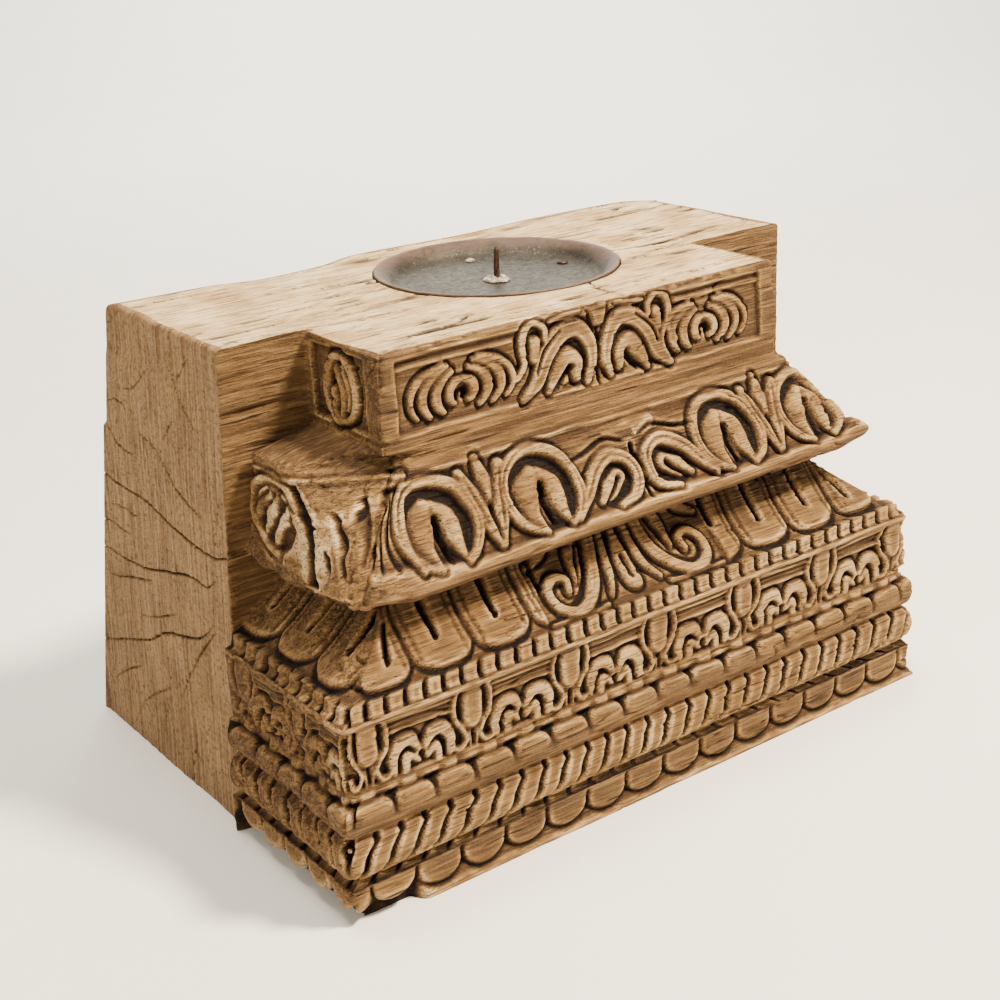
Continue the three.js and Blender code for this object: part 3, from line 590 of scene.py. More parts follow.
def carve_worn_end(r):
    """The slab's left end: a round corner panel, a deep fold, and a second hollow lobe behind it."""
    r.field += 1.4
    for path in ([(19, 8), (24, 17), (33, 27)], [(25, 6), (30, 15), (37, 23)], [(31, 6), (35, 12)]):
        r.gouge(curve(path), (1.4, 2.8, 1.0), 2.4)
    r.gouge([(29.6, 21.5), (31, 23.5)], (3.0,), 3.4)
    r.gouge(curve([(39, 1), (41, 10), (43.5, 20), (50, 31)]), (6.5, 5.5, 4.0, 2.0), 4.2)
    r.dish_out(60, 16, 11, 12, 2.6)
    rim = [(47, 24), (54, 30.5), (64, 31), (72, 27), (73.4, 17), (68, 8), (58, 4.6)]
    r.bead(curve(rim), (3.6, 5.0, 5.4, 4.8, 4.4, 4.6, 4.0), 3.6, 2.8, 0.6)
    folds = [[(51, 25), (57, 16), (60, 8)], [(57, 27), (63, 18), (66, 10)]]
    folds.append([(63, 27), (68, 20), (70, 15)])
    for path in folds:
        r.bead(curve(path), (2.6, 5.6, 2.8), 2.7, 2.0, 0.8)


# The step's nested curls: each one's radius, the turns it starts and ends at, and its width
CURLS = ((4.4, 84, -60, 4.6), (9.8, 72, -48, 5.2), (15.2, 72, -38, 4.8), (20.0, 72, -30, 3.4))
CURL_UP = 12.6


def carve_step(r, side, s):
    """Framed panels of nested curls, with two big scrolls meeting in the middle."""
    r.top = 3.2
    r.field += 1.7
    frame_foot, frame_top = 4.6, 27.6
    r.field += 1.5 * smooth((frame_foot - r.up) / 1.2) + 1.5 * smooth((r.up - frame_top) / 0.8)
    r.cuts += 0.8 * np.exp(-(((r.up - 2.2) / 0.5) ** 2)) + 0.7 * np.exp(-(((r.up - 29.3) / 0.4) ** 2))
    bar = np.clip(1 - ((r.up - 25) / 1.1) ** 2, 0, 1)
    if side != FRONT_SIDE:
        r.field += 1.5 * smooth((42 - r.along) / 1.2) + 1.5 * smooth((r.along - 73) / 1.2)
        mid = 57.5
        ring = scroll(mid, 14.8, (11.5, 11.5, 10), (-80, 300), 44)
        ring[:, 0] = mid + 0.8 * (ring[:, 0] - mid)
        r.bead(ring, (3.4, 4.2, 3.4), 3.2)
        strands = [[(53.6, 9), (52.4, 16), (56, 23)], [(57.6, 6), (56.8, 14), (60.4, 22)]]
        strands.append([(62, 7), (62.6, 15)])
        for path in strands:
            r.bead(curve(path), (2.6, 4.0, 2.6), 2.9, 2.4, 1.3)
        return
    r.field += 1.5 * smooth((-78 - r.along) / 1.2) + 1.5 * smooth((r.along - 76) / 1.2)
    mid = 1.8
    beside = smooth((np.abs(r.along - mid) - 34) / 1.5)
    r.stands = np.maximum(r.stands, 2.9 * bar * beside)
    for x in (-54.0, 50.0):
        for hand in (-1, 1):
            for radius, high, low, width in CURLS:
                turns = (high, low) if hand > 0 else (180 - high, 180 - low)
                path = scroll(x + hand * 0.5, CURL_UP, (radius, radius * 0.96), turns)
                path[:, 1] = CURL_UP + (path[:, 1] - CURL_UP) * (0.98 - 0.021 * radius)
                r.bead(path, (width * 0.55, width, width, width * 0.5), 3.3, 2.2, 1.0)
        r.gouge(scroll(x + 0.6, 11.6, (2.2, 0.6), (210, -60)), (1.3, 1.9), 3.0)
    for hand in (-1, 1):
        outer = [(32, 4.0), (26.6, 8.8), (22.6, 16.4), (16.6, 23.0)]
        outer += [(9.6, 24.4), (4.4, 19.6), (3.0, 12), (5.2, 5.0)]
        r.bead(drawn(outer, mid, hand), (3.6, 6.4, 7.4, 7.4, 7.0, 6.0, 4.8, 3.0), 3.8, 2.8, 1.2)
        inner = [(21.8, 4.4), (18.2, 10.6), (13.4, 15.8), (9.6, 13.0), (9.4, 7.0)]
        r.bead(drawn(inner, mid, hand), (3.2, 6.4, 7.4, 6.0, 4.2), 3.1, 2.4, 1.2)
        r.gouge(drawn([(12.0, 11.6), (13.8, 8.6), (17.0, 5.0)], mid, hand), (2.8, 1.8, 0.8), 3.0)
        hook = [(22.4, 23.0), (22.6, 26.8), (26.2, 29.6), (30.4, 27.8)]
        hook += [(31.8, 22.6), (31.2, 16.4), (34.6, 11.6)]
        r.bead(drawn(hook, mid, hand), (2.6, 3.4, 3.6, 3.4, 2.6), 3.7, 2.6, 1.0)
        r.bead(drawn([(26.2, 22.6), (26.6, 17.4)], mid, hand), (5.8, 4.4), 3.1, 2.4, 1.0)
        r.gouge(drawn([(26.4, 12.4), (22.6, 19.4), (16.4, 24.6)], mid, hand), (0.8, 1.5, 0.8), 2.2)
    r.gouge([(mid, 3), (mid, 22)], (1.6, 2.0, 1.4), 2.6)
    r.bead([(mid, 26), (mid, 31)], (6.0, 11.0), 3.4, 3.4)
    for hand in (-1, 1):
        r.bead(drawn([(8, 30.2), (14, 29.6), (20, 28.6)], mid, hand), (3.0, 4.2, 2.4), 3.0, 2.8, 0.8)
    bite = np.clip(noise(r.along, 0, 0, (7, 1, 1), 33, 3) + 0.1, 0, 1)
    r.cuts += 2.2 * bite * smooth((r.up - 28.6) / 2.4)


# ---- the timber ---------------------------------------------------------------------------


def bulge(low, high, edge, crown, steps=8):
    """Points of a rounded band that stands out from one inset to a smaller one."""
    across = np.linspace(-1, 1, steps + 1)
    insets = edge - (edge - crown) * np.sqrt(1 - 0.97 * across**2)
    return list(zip(insets, (low + high) / 2 + (high - low) / 2 * across))


def front_bands():
    """The front's profile: for each band its carver and its (inset, z) points from the foot up."""
    climb = np.linspace(0, 1, 12)
    hollow = list(zip(7 + 20 * (1 - (1 - climb) ** 1.75), LEAF_FOOT + 26.5 * climb))
    fillet = [(2.9, SCALE_TOP + 0.2), (2.9, FRIEZE_FOOT)]
    shelf = [(2.6, SHELF_FOOT), (2.8, 69.0), (4.6, 69.4), (5.4, LEAF_FOOT)]
    lip = [(27, LEAF_TOP), (21, 99.2), (15.6, 98.0), (13.2, 98.4), (12.0, 100.4), (12.0, SLAB_FOOT)]
    slab = [(12.2 + 18.8 * h, SLAB_FOOT + 30.6 * h) for h in (0, 0.5, 0.97)] + [(32, 133.4)]
    ledge = [(32.6, LEDGE_LOW), (33.2, 135), (33.0, 136.5), (33.5, LEDGE_HIGH)]
    step = [(33.4, LEDGE_HIGH), (33.5, 150), (33.5, 166.6), (34.2, 168.3), (35.6, HEIGHT)]
    return [
        (carve_scallops, [(0.0, 0.0), (0.0, ROPE_FOOT)]),
        (carve_rope, bulge(ROPE_FOOT, SCALE_FOOT, 4.2, 0.0)),
        (carve_scales, bulge(SCALE_FOOT, SCALE_TOP, 4.0, 0.6)[:-1] + fillet),
        (carve_frieze, [(2.8, FRIEZE_FOOT), (2.8, SHELF_FOOT)]),
        (carve_dentils, shelf),
        (carve_leaves, hollow),
        (None, lip),
        (carve_slab, slab),
        (None, ledge),
        (carve_step, step),
    ]


def resampled(points, cell):
    """Points at an even spacing along a line."""
    p = np.array(points, float)
    run = np.concatenate([[0], np.cumsum(np.hypot(*np.diff(p, axis=0).T))])
    count = max(2, round(run[-1] / cell) + 1)
    at = np.linspace(0, run[-1], count)
    return np.stack([np.interp(at, run, p[:, 0]), np.interp(at, run, p[:, 1]), at], 1)


def blurred(field, reach):
    """The field averaged over reach points each way, twice over."""
    for axis in (0, 1, 0, 1):
        pad = [(reach + 1, reach) if k == axis else (0, 0) for k in (0, 1)]
        run = np.cumsum(np.pad(field, pad, mode="edge"), axis)
        ahead = np.take(run, range(2 * reach + 1, run.shape[axis]), axis)
        behind = np.take(run, range(run.shape[axis] - 2 * reach - 1), axis)
        field = (ahead - behind) / (2 * reach + 1)
    return field


def upright(values):
    """One value for each level, ready to be combined with places along it."""
    return values[:, None]


def carved_levels(cell):
    """Every level of the profile: its inset, height, height up its band, and the inward normal."""
    lines, spans, start = [], [], 0
    for carver, points in front_bands():
        shelf = points[0][1] == LEDGE_LOW
        line = resampled(points, cell / 3 if shelf else cell)
        lines.append(line[:-1])
        spans.append((carver, start, start + len(line) - 1))
        start += len(line) - 1
    spans[-1] = (spans[-1][0], spans[-1][1], start + 1)
    inset, z, up = np.vstack([*lines, line[-1:]]).T
    tangent = np.stack([np.gradient(inset), np.gradient(z)], 1)
    tangent /= np.hypot(*tangent.T)[:, None] + 1e-9
    for _ in range(3):
        padded = np.pad(tangent, ((1, 1), (0, 0)), mode="edge")
        tangent = (padded[:-2] + padded[1:-1] * 2 + padded[2:]) / 4
    tangent /= np.hypot(*tangent.T)[:, None] + 1e-9
    return SimpleNamespace(
        inset=inset, z=z, up=up, inward=tangent[:, 1], upward=-tangent[:, 0], spans=spans
    )


def core_levels(profile):
    """The core's own heights, rising evenly as the mouldings go in and out, and its worn top edge."""
    rise = np.abs(np.diff(profile.z)) + 0.16 * np.abs(np.diff(profile.inset))
    z = np.concatenate([[0], np.cumsum(rise)])
    z *= HEIGHT / z[-1]
    crown = np.clip((z - (HEIGHT - TOP_ROUND)) / TOP_ROUND, 0, 1)
    edge = 2.0 * (1 - np.sqrt(np.clip(1 - crown**2, 0, 1)))
    left = -HALF + LEFT_INSET + 0.5 + LEFT_LEAN * z / HEIGHT + edge
    right = HALF - RIGHT_INSET - 0.5 - RIGHT_LEAN * z / HEIGHT - edge
    return SimpleNamespace(z=z, edge=edge, x={LEFT_SIDE: left, RIGHT_SIDE: right})


def carved_depths(along, z, profile, side, s):
    """How deep each place of the front or of a return is carved."""
    depth = np.zeros(along.shape)
    up = upright(profile.up) + 0 * along
    jitter = noise(along, z, side * 40, (34, 21, 10), s.seed, 1)
    jitter = jitter + 0.5 * noise(along, z, side * 40, (7, 6, 10), s.seed + 1, 1)
    drift = noise(along, z, side * 40 + 9, (26, 17, 10), s.seed + 3, 1)
    drift = drift + 0.6 * noise(along, z, side * 40, (8, 7, 10), s.seed + 4, 1)
    for carver, first, last in profile.spans:
        if carver is None:
            continue
        rows = slice(first, last)
        r = Relief(along[rows] + 0.7 * jitter[rows], up[rows] + 0.5 * drift[rows])
        carver(r, side, s)
        depth[rows] = r.depth() * s.carving
    return depth


def wear(x, y, z, s):
    """Hand-cut and weathered unevenness: broad waves, washed-out grain along X, pits and checks."""
    broad = 0.34 * noise(x, y, z, (30, 22, 18), s.seed + 11, 1)
    grain = 0.20 * noise(x, y, z, (24, 1.9, 1.7), s.seed + 12, 2)
    chips = 0.10 * noise(x, y, z, (3.6, 2.6, 2.6), s.seed + 13, 1)
    pits = np.clip(noise(x, y, z, (14, 2.6, 1.5), s.seed + 14, 1) - 0.52, 0, 1) * 2.6
    line = 1 - np.abs(noise(x, y, z, (38, 6, 3.4), s.seed + 15, 1)) / 0.055
    checks = np.clip(line, 0, 1) * smooth((noise(x, y, z, (40, 30, 16), s.seed + 16, 1) - 0.05) / 0.2)
    return broad + grain + chips + pits, checks


def battered(x, y, z):
    """Where the slab's left corner has been knocked about, from 0 to 1."""
    high = smooth((z - 95) / 5) * smooth((141 - z) / 5)
    return high * smooth((-88 - x) / 10) * smooth((FRONT + CORE_FRONT + 1 - y) / 6)


def weathered_side(x, y, z):
    """How much the left return's lower bands are eaten away, from 0 to 1."""
    low = smooth((z - ROPE_FOOT + 1) / 6) * smooth((98 - z) / 10)
    return low * smooth((-112 - x) / 10) * smooth((y - FRONT - 7) / 14)


def heavy_corner(x, z, to_corner, side):
    """How far the slab's left corner is rounded off, and how far its end stands out behind it."""
    slab = smooth((z - 96) / 5) * smooth((LEDGE_HIGH - 0.5 - z) / 3)
    round_off = 7.0 * np.clip(1 - to_corner / 19, 0, 1) ** 2 * slab * (x < 0)
    if side != LEFT_SIDE:
        return round_off, 0
    up = np.clip((z - 103) / (LEDGE_LOW - 103), 0, 1)
    shelf = np.clip((z - LEDGE_LOW) / (LEDGE_HIGH - LEDGE_LOW), 0, 1)
    wanted = -HALF + 16.4 + 3.6 * up**2 + 24.6 * shelf**1.3
    stands_out = np.maximum(x - wanted, 0) * smooth((to_corner - 1) / 24) * (z > 103)
    return round_off, stands_out


def end_cracks(r):
    """Drying cracks that fan out from the pith to the back of a sawn end."""
    lines = [
        ([(76, 99), (91, 96), (117, 98), (139, 101.5), (169, 102), (178, 107.5)], 1.7),
        ([(87, 88), (94, 83.5), (104, 84), (121, 80), (152, 73.5), (183, 72.5)], 1.5),
        ([(139, 71), (155, 67), (174, 62.5)], 1.3),
        ([(90, 71), (104, 61), (130, 54), (147, 45), (191, 30)], 1.6),
        ([(91, 67), (104, 54), (114, 42), (121, 32)], 1.7),
        ([(111, 22), (114, 9), (116, 0)], 1.2),
        ([(130, 32), (152, 19), (166, 3)], 1.1),
        ([(156, 31), (168, 25), (180, 17)], 1.1),
        ([(121, 64), (139, 57), (150, 54)], 1.0),
        ([(95, 108), (113, 113.5), (126, 123), (139, 126.5)], 1.4),
        ([(170, 125), (160, 118), (143, 116.5)], 1.2),
        ([(112, 138), (119, 131), (124, 122)], 0.9),
        ([(130, 152), (141, 143), (150, 140)], 1.0),
        ([(110, 150), (104, 156), (98, 162)], 0.9),
        ([(96, 138), (106, 147), (112, 158)], 0.9),
        ([(145, 92.5), (158, 93), (170, 92)], 1.0),
        ([(156, 84), (168, 84.5), (180, 84)], 0.9),
        ([(88, 60), (86, 44), (90, 30)], 0.9),
        ([(80, 120), (84, 108), (86, 100)], 0.9),
        ([(100, 30), (104, 18), (102, 8)], 0.8),
        ([(140, 12), (134, 22), (128, 40)], 0.8),
        ([(150, 134), (158, 134.6), (164, 133)], 1.0),
    ]
    for points, width in lines:
        line = curve(points, 9)
        line[:, 1] += 0.5 * noise(line[:, 0], line[:, 1], 0, (5, 5, 5), 91)
        r.gouge(line, [0.75 * width * part for part in (0.4, 1, 0.8, 0.6, 0.4)], 2.2, 1.2)


def top_cracks(r):
    """Short cracks and a knot hole along the grain of the flat top."""
    lines = [
        ([(-71, 84.2), (-64, 84.6), (-57, 84)], 1.5),
        ([(-112, 90.6), (-84, 91.6), (-46, 91.2)], 0.9),
        ([(-70, 96), (-58, 95.4), (-46, 96.2)], 1.1),
        ([(-114, 79.5), (-104, 80.6), (-92, 80.2)], 1.2),
        ([(-52, 123), (-42, 124.6), (-31, 123.6)], 1.1),
        ([(-112, 147), (-98, 148.6), (-76, 148)], 1.2),
        ([(-48, 146.6), (-38, 147.4), (-28, 147)], 0.9),
        ([(58, 77.6), (70, 78.4), (88, 76.6)], 1.8),
        ([(52, 80.6), (64, 80.2), (80, 80.8)], 1.0),
        ([(60, 99.6), (68, 100.2), (74, 99.8)], 1.6),
        ([(62, 105.8), (74, 106), (88, 104.6)], 1.1),
        ([(72, 86), (80, 86.4), (86, 86)], 1.3),
        ([(107, 85.6), (114, 86.4), (120, 86)], 1.5),
        ([(74, 94), (84, 94.6), (92, 93.8)], 0.9),
        ([(48, 73.6), (56, 73), (62, 73.6)], 1.0),
        ([(-66, 73.6), (-58, 74.2), (-50, 73.8)], 1.0),
        ([(17.5, 60.8), (17, 55), (15, 48), (15.6, 40), (17, 33)], 1.4),
        ([(24, 48), (40, 46), (54, 44), (68, 45)], 1.3),
        ([(-84, 37), (-76, 38.4), (-66, 39.6)], 1.4),
        ([(-40, 42), (-20, 41.4), (6, 43)], 0.8),
    ]
    for points, width in lines:
        line = curve(points, 9)
        line[:, 1] += 0.35 * noise(line[:, 0], line[:, 1], 0, (7, 7, 7), 92)
        r.gouge(line, (0.4, width, width, 0.4), 2.0, 1.5)
    r.gouge([(103.6, 146), (105.4, 146.6)], (3.0,), 3.0)


class Grid:
    """Carved places gathered column by column round the timber, from the back left corner."""

    def __init__(self):
        self.parts = []

    def add(self, x, y, z, recess=0.0, bleach=0.0, sawn=0.0):
        """Adds columns of places, with how much dirt and painted shade, how much wear and painted highlight, and how
        sawn each place is.
        """
        self.parts.append(np.stack(np.broadcast_arrays(x, y, z, recess, bleach, sawn), -1))

    def whole(self):
        every = np.concatenate(self.parts, 1)
        return every[..., :3], every[..., 3:]


def back_line(z, x):
    """Where the back stands at a height: it leans in, steps in once, and is worn at the top."""
    y = BACK - 0.8 - BACK_LEAN * z / HEIGHT
    y = y - 2.6 * smooth((z - 122) / 3)
    dip = 6.5 * np.exp(-(((x + 48) / 24) ** 4)) + 1.2 * np.sin(x / 17)
    round_corner = 12 * smooth((x - 108) / 24) ** 2
    return y - (dip * smooth((z - 140) / 29) + round_corner * smooth((z - 100) / 60) + 1.3)


def flat_face(profile, side, s):
    """The front or a return before it is cut: its places, and how deep each will be carved."""
    inset = upright(profile.inset)
    if side == FRONT_SIDE:
        reach = HALF - RETURN_RATIO * inset
        x = np.linspace(-1, 1, round(LENGTH / s.cell)) * reach
        y = FRONT + inset + 0 * x
        along, to_corner = x, reach - np.abs(x)
    else:
        back = np.linspace(0, 1, round(CORE_FRONT / s.cell / 1.1))
        y = FRONT + inset + back * (CORE_FRONT - inset)
        x = side * (HALF - RETURN_RATIO * inset) + 0 * y
        along = y - FRONT
        to_corner = along - inset
    z = upright(profile.z) + 0 * x
    depth = carved_depths(along, z, profile, side, s)
    return SimpleNamespace(side=side, x=x, y=y, z=z, depth=depth, to_corner=to_corner)


def eased(field):
    """The field a little softened, first along and then up."""
    for axis in (1, 0):
        padded = np.pad(field, 1, mode="edge")
        middle = padded[1:-1] if axis else padded[:, 1:-1]
        ahead, behind = (middle[:, 2:], middle[:, :-2]) if axis else (middle[2:], middle[:-2])
        field = (behind + ahead + 2 * field) / 4
    return field


def lip_sag(f):
    """How far the slab's lip hangs or lifts: low at the left corner, up again at the right."""
    if f.side == LEFT_SIDE:
        return -LIP_SAG * (1 - smooth((f.y - CORE_Y + 8) / 8))
    if f.side == RIGHT_SIDE:
        return LIP_SAG * (1 - smooth(f.to_corner / 30))
    return LIP_SAG * (smooth((f.x - 96) / 14) - smooth((-f.x - 5) / 90))


def cut_face(f, profile, s):
    """Carves, wears and breaks a face, and notes where it takes painted shade and dirt, and where it is rubbed pale or
    takes painted highlight.
    """
    x, y, z, side = f.x, f.y, f.z, f.side
    broken, eaten = battered(x, y, z), weathered_side(x, y, z)
    clean = eased(f.depth)
    uneven, checks = wear(x, y, z, s)
    pitted = np.clip(0.4 + 1.8 * noise(x, y, z, (7, 5, 4), s.seed + 24, 3), 0, 3)
    lumps = noise(x, y, z, (13, 12, 9), s.seed + 22, 3)
    near = np.clip(1 - f.to_corner / 4.5, 0, 1)
    depth = clean * (1 - 0.45 * broken - 0.3 * eaten) + uneven + 0.9 * checks
    depth += eaten * pitted
    depth += near**2 * (0.9 + 0.8 * noise(z, side, 0, (7, 1, 1), s.seed + 21))
    depth += broken * np.clip(1.2 + 3.0 * lumps + 0.5 * pitted, 0, 6)
    back_fade = 1 - smooth((y - CORE_Y + 2.5) / 2.5) if side else 1
    depth = np.maximum(depth, 0.05) * back_fade

    # each place moves in along the profile's normal, and at a corner both faces meet on the mitre
    step_in = upright(profile.inward) * depth
    mitre = smooth(1 - f.to_corner / (4 + 3.2 * np.abs(step_in)))
    in_lip = np.exp(-(((profile.z - 101.5) / 7.5) ** 2))
    in_lip *= smooth((profile.inset.max() - profile.inset + 2) / 4)
    rounded, stands_out = heavy_corner(x, z, f.to_corner, side)
    new_z = z + upright(profile.upward) * depth + upright(in_lip) * lip_sag(f)
    new_z = new_z + 1.4 * lumps * np.minimum(stands_out / 6, 1) * (z > LEDGE_LOW - 4)
    if side == FRONT_SIDE:
        x = x - np.sign(x) * RETURN_RATIO * step_in * mitre
        y = y + step_in
    else:
        x = x - side * RETURN_RATIO * step_in
        y = y + step_in * mitre
    x = x + rounded - stands_out * back_fade
    y = y + 0.75 * rounded * back_fade
    f.places = (x, y, np.clip(new_z, 0, HEIGHT))

    near_mean, mid_mean, far_mean = (blurred(clean, reach) for reach in (2, 4, 9))
    # Pale crests where the surface stands proud of its neighbours, with less shade there: partly wear, partly painted
    # highlight.
    ridge = np.clip((near_mean - clean) / 0.40 + (far_mean - clean) / 1.9, -1, 1)
    # Painted shade: darker where the surface lies deeper than its neighbours, and darker still in the deepest cuts.
    hollow = np.clip((clean - mid_mean) / 1.15, 0, 1) + np.clip((clean - 2.2) / 4.2, 0, 0.5)
    # Painted shadow under the slab's overhang: the leaf band is darkened and loses its pale crests.
    slab_shadow = smooth((z - 78) / 18) * smooth((101 - z) / 3)
    # Painted shade in the hair cracks and the eaten pits, with some grime, plus the painted shadow under the slab.
    shade_and_grime = 0.30 * slab_shadow + 0.16 * eaten * pitted + 0.5 * checks
    f.recess = np.clip(hollow * (1 - 0.4 * broken) - 0.2 * ridge + shade_and_grime, 0, 1)
    # Paleness: wear on the top, the crests and the battered corner, with painted highlight on the crests.
    pale = 0.06 + 0.62 * ridge + broken * (0.15 + 1.3 * lumps) - 0.3 * eaten - 0.45 * slab_shadow
    f.bleach = np.clip(pale, 0, 1)


def moulded_faces(profile, s):
    """The carved front and the two carved returns."""
    faces = {side: flat_face(profile, side, s) for side in (LEFT_SIDE, FRONT_SIDE, RIGHT_SIDE)}
    for side, column in ((LEFT_SIDE, 0), (RIGHT_SIDE, -1)):
        f = faces[side]
        blend = smooth(1 - f.to_corner / 2.5)
        f.depth = f.depth * (1 - blend) + upright(faces[FRONT_SIDE].depth[:, column]) * blend
    for f in faces.values():
        cut_face(f, profile, s)
    return faces


def core_strip(f, core, s):
    """The core's plain front, from a return's inner edge to the core's corner."""
    inner_x, _, inner_z = (part[:, -1:] for part in f.places)
    t = np.linspace(0, 1, 34)[1:]
    x = inner_x * (1 - t) + upright(core.x[f.side]) * t
    z = inner_z * (1 - t) + upright(core.z) * t
    rough = 0.9 + 0.9 * noise(x, 0, z, (22, 9, 1.6), s.seed + 31, 3)
    rough += np.clip(noise(x, 3, z, (30, 9, 2.2), s.seed + 32, 1) - 0.35, 0, 1) * 4
    y = CORE_Y + np.sin(math.pi * np.clip(t, 0, 0.93)) ** 0.4 * rough
    # The rough strip is darker where it lies deeper: painted shade.
    return x, y, z, np.clip(rough / 3.4 - 0.25, 0, 1), 0.2 + 0 * x


def sawn_end(side, core, s):
    """A sawn end of the core, from its back corner to its front, with rings, saw marks and cracks."""
    count = round((DEPTH - CORE_FRONT) / 1.05)
    t = np.linspace(0, 1, count)
    end_x, z = upright(core.x[side]), upright(core.z)
    y = CORE_Y * t + (back_line(z, end_x) - upright(core.edge)) * (1 - t)
    z = z + 0 * y
    if side == LEFT_SIDE:
        r = Relief(y - FRONT, z)
    else:
        r = Relief(270 - (y - FRONT), HEIGHT - z)
    end_cracks(r)
    radius = np.hypot(y - FRONT - PITH[0], z - PITH[1])
    rings = 0.10 * np.sin(radius / 0.62 + 3 * noise(0, y, z, (9, 14, 14), s.seed + 41))
    saw = 0.16 * noise(0, y, z, (9, 1.6, 40), s.seed + 42)
    lumps = 0.5 * noise(0, y, z, (9, 40, 30), s.seed + 43, 2)
    chip = smooth((z - 148) / 6) * smooth((y - FRONT - 128 + 0.5 * (169 - z)) / 5)
    depth = 0.9 + rings + saw + lumps + r.cuts + 1.5 * chip * (1 + lumps)
    edges = np.minimum(np.clip(t * count / 3, 0, 1), np.clip((1 - t) * count / 2, 0, 1))
    x = end_x - side * (depth * (0.3 + 0.7 * edges) - 0.9)
    # Its cracks are darkened: painted shade.
    return x, y, z, np.clip(r.cuts / 1.5, 0, 1), 0.15 * chip, 1 + 0 * x


def plain_back(right_x, left_x, core, s):
    """The sawn back, from its right corner to its left, with adze waves, grain and hair cracks."""
    t = np.linspace(0, 1, 110)[1:-1]
    x = right_x * (1 - t) + left_x * t
    z = upright(core.z) + 0 * x
    adze = 0.7 * noise(x, 0, z, (38, 9, 16), s.seed + 51, 1)
    grain = 0.5 * noise(x, 0, z, (60, 9, 2.4), s.seed + 52, 2)
    line = 1 - np.abs(noise(x, 5, z, (80, 9, 7), s.seed + 53, 1)) / 0.06
    pits = np.clip(line, 0, 1) * smooth(noise(x, 8, z, (60, 9, 30), s.seed + 54, 1) * 3)
    y = back_line(z, x) - upright(core.edge) - np.maximum(0.6 + adze + grain + pits, 0)
    # Its hair cracks are darkened: painted shade.
    return x, y, z, 0.7 * pits, 0.25 + 0 * x


def timber_grid(s):
    """All the timber's sides as one closed band of places, level by level."""
    profile = carved_levels(s.cell)
    core = core_levels(profile)
    faces = moulded_faces(profile, s)
    left_end, right_end = (sawn_end(side, core, s) for side in (LEFT_SIDE, RIGHT_SIDE))
    grid = Grid()
    grid.add(*(part[:, :-1] for part in left_end))
    grid.add(*(part[:, ::-1] for part in core_strip(faces[LEFT_SIDE], core, s)))
    orders = {LEFT_SIDE: slice(None, 0, -1), FRONT_SIDE: slice(None), RIGHT_SIDE: slice(1, None)}
    for side, order in orders.items():
        f = faces[side]
        grid.add(*(part[:, order] for part in (*f.places, f.recess, f.bleach)))
    grid.add(*core_strip(faces[RIGHT_SIDE], core, s))
    grid.add(*(part[:, ::-1][:, 1:] for part in right_end))
    grid.add(*plain_back(right_end[0][:, :1], left_end[0][:, :1], core, s))
    return grid.whole()


def capped(outline, holes, cell, seed):
    """Triangles that fill a flat outline, less its holes, with points every cell mm.

    Gives the new points and the triangles, whose first numbers stand for the points of the
    outline and of the holes."""
    rings = [outline, *holes]
    fixed = np.vstack(rings)
    edges, start = [], 0
    for ring in rings:
        n = len(ring)
        edges += [(start + i, start + (i + 1) % n) for i in range(n)]
        start += n
    low, high = fixed.min(0), fixed.max(0)
    xs, ys = np.meshgrid(np.arange(low[0], high[0], cell), np.arange(low[1], high[1], cell))
    shift = [noise(xs, ys, k, (0.7, 0.7, 0.7), seed, 1) * cell * 0.3 for k in (0, 7)]
    free = np.stack([(xs + shift[0]).ravel(), (ys + shift[1]).ravel()], 1)
    inside = within(free, outline)
    for hole in holes:
        inside &= ~within(free, hole)
    free = free[inside]
    tree = kdtree.KDTree(len(fixed))
    for i, (x, y) in enumerate(fixed):
        tree.insert((x, y, 0), i)
    tree.balance()
    free = np.array([p for p in free if tree.find((p[0], p[1], 0))[2] > cell * 0.55]).reshape(-1, 2)
    points = [Vector(p) for p in np.vstack([fixed, free])]
    out = delaunay_2d_cdt(points, edges, [], 0, 1e-7, True)
    if len(out[0]) != len(points) or any(len(o) != 1 for o in out[3]):
        raise RuntimeError("the cap's outline crosses itself")
    order = np.array([o[0] for o in out[3]])
    place = np.array(out[0])
    tris = np.array(out[2])
    middle = place[tris].mean(1)
    keep = within(middle, outline)
    for hole in holes:
        keep &= ~within(middle, hole)
    return free, order[tris[keep]]


def within(points, ring):
    """Which of the points lie inside a closed ring."""
    inside = np.zeros(len(points), bool)
    x, y = points.T
    for (ax, ay), (bx, by) in zip(ring, np.roll(ring, -1, 0)):
        if ay == by:
            continue
        cross = ((ay > y) != (by > y)) & (x < (bx - ax) * (y - ay) / (by - ay) + ax)
        inside ^= cross
    return inside


def make_object(name, points, faces, facts=None):
    """A mesh object from points in millimetres, with a number on each point for each fact."""
    mesh = bpy.data.meshes.new(name)
    mesh.from_pydata((np.asarray(points) * MM).tolist(), [], [list(map(int, f)) for f in faces])
    mesh.validate()
    for fact, values in (facts or {}).items():
        layer = mesh.attributes.new(fact, "FLOAT", "POINT")
        layer.data.foreach_set("value", np.asarray(values, np.float32))
    mesh.polygons.foreach_set("use_smooth", [True] * len(mesh.polygons))
    mesh.update()
    thing = bpy.data.objects.new(name, mesh)
    bpy.context.scene.collection.objects.link(thing)
    return thing


def settle(thing, material, slot, *nodes):
    """Gives a piece its material, puts it on the model's one body, and stands it for CAD nodes."""
    thing.data.materials.append(material)
    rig.ride(thing, "root")
    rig.slot(thing, slot)
    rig.replaces(thing, *nodes)


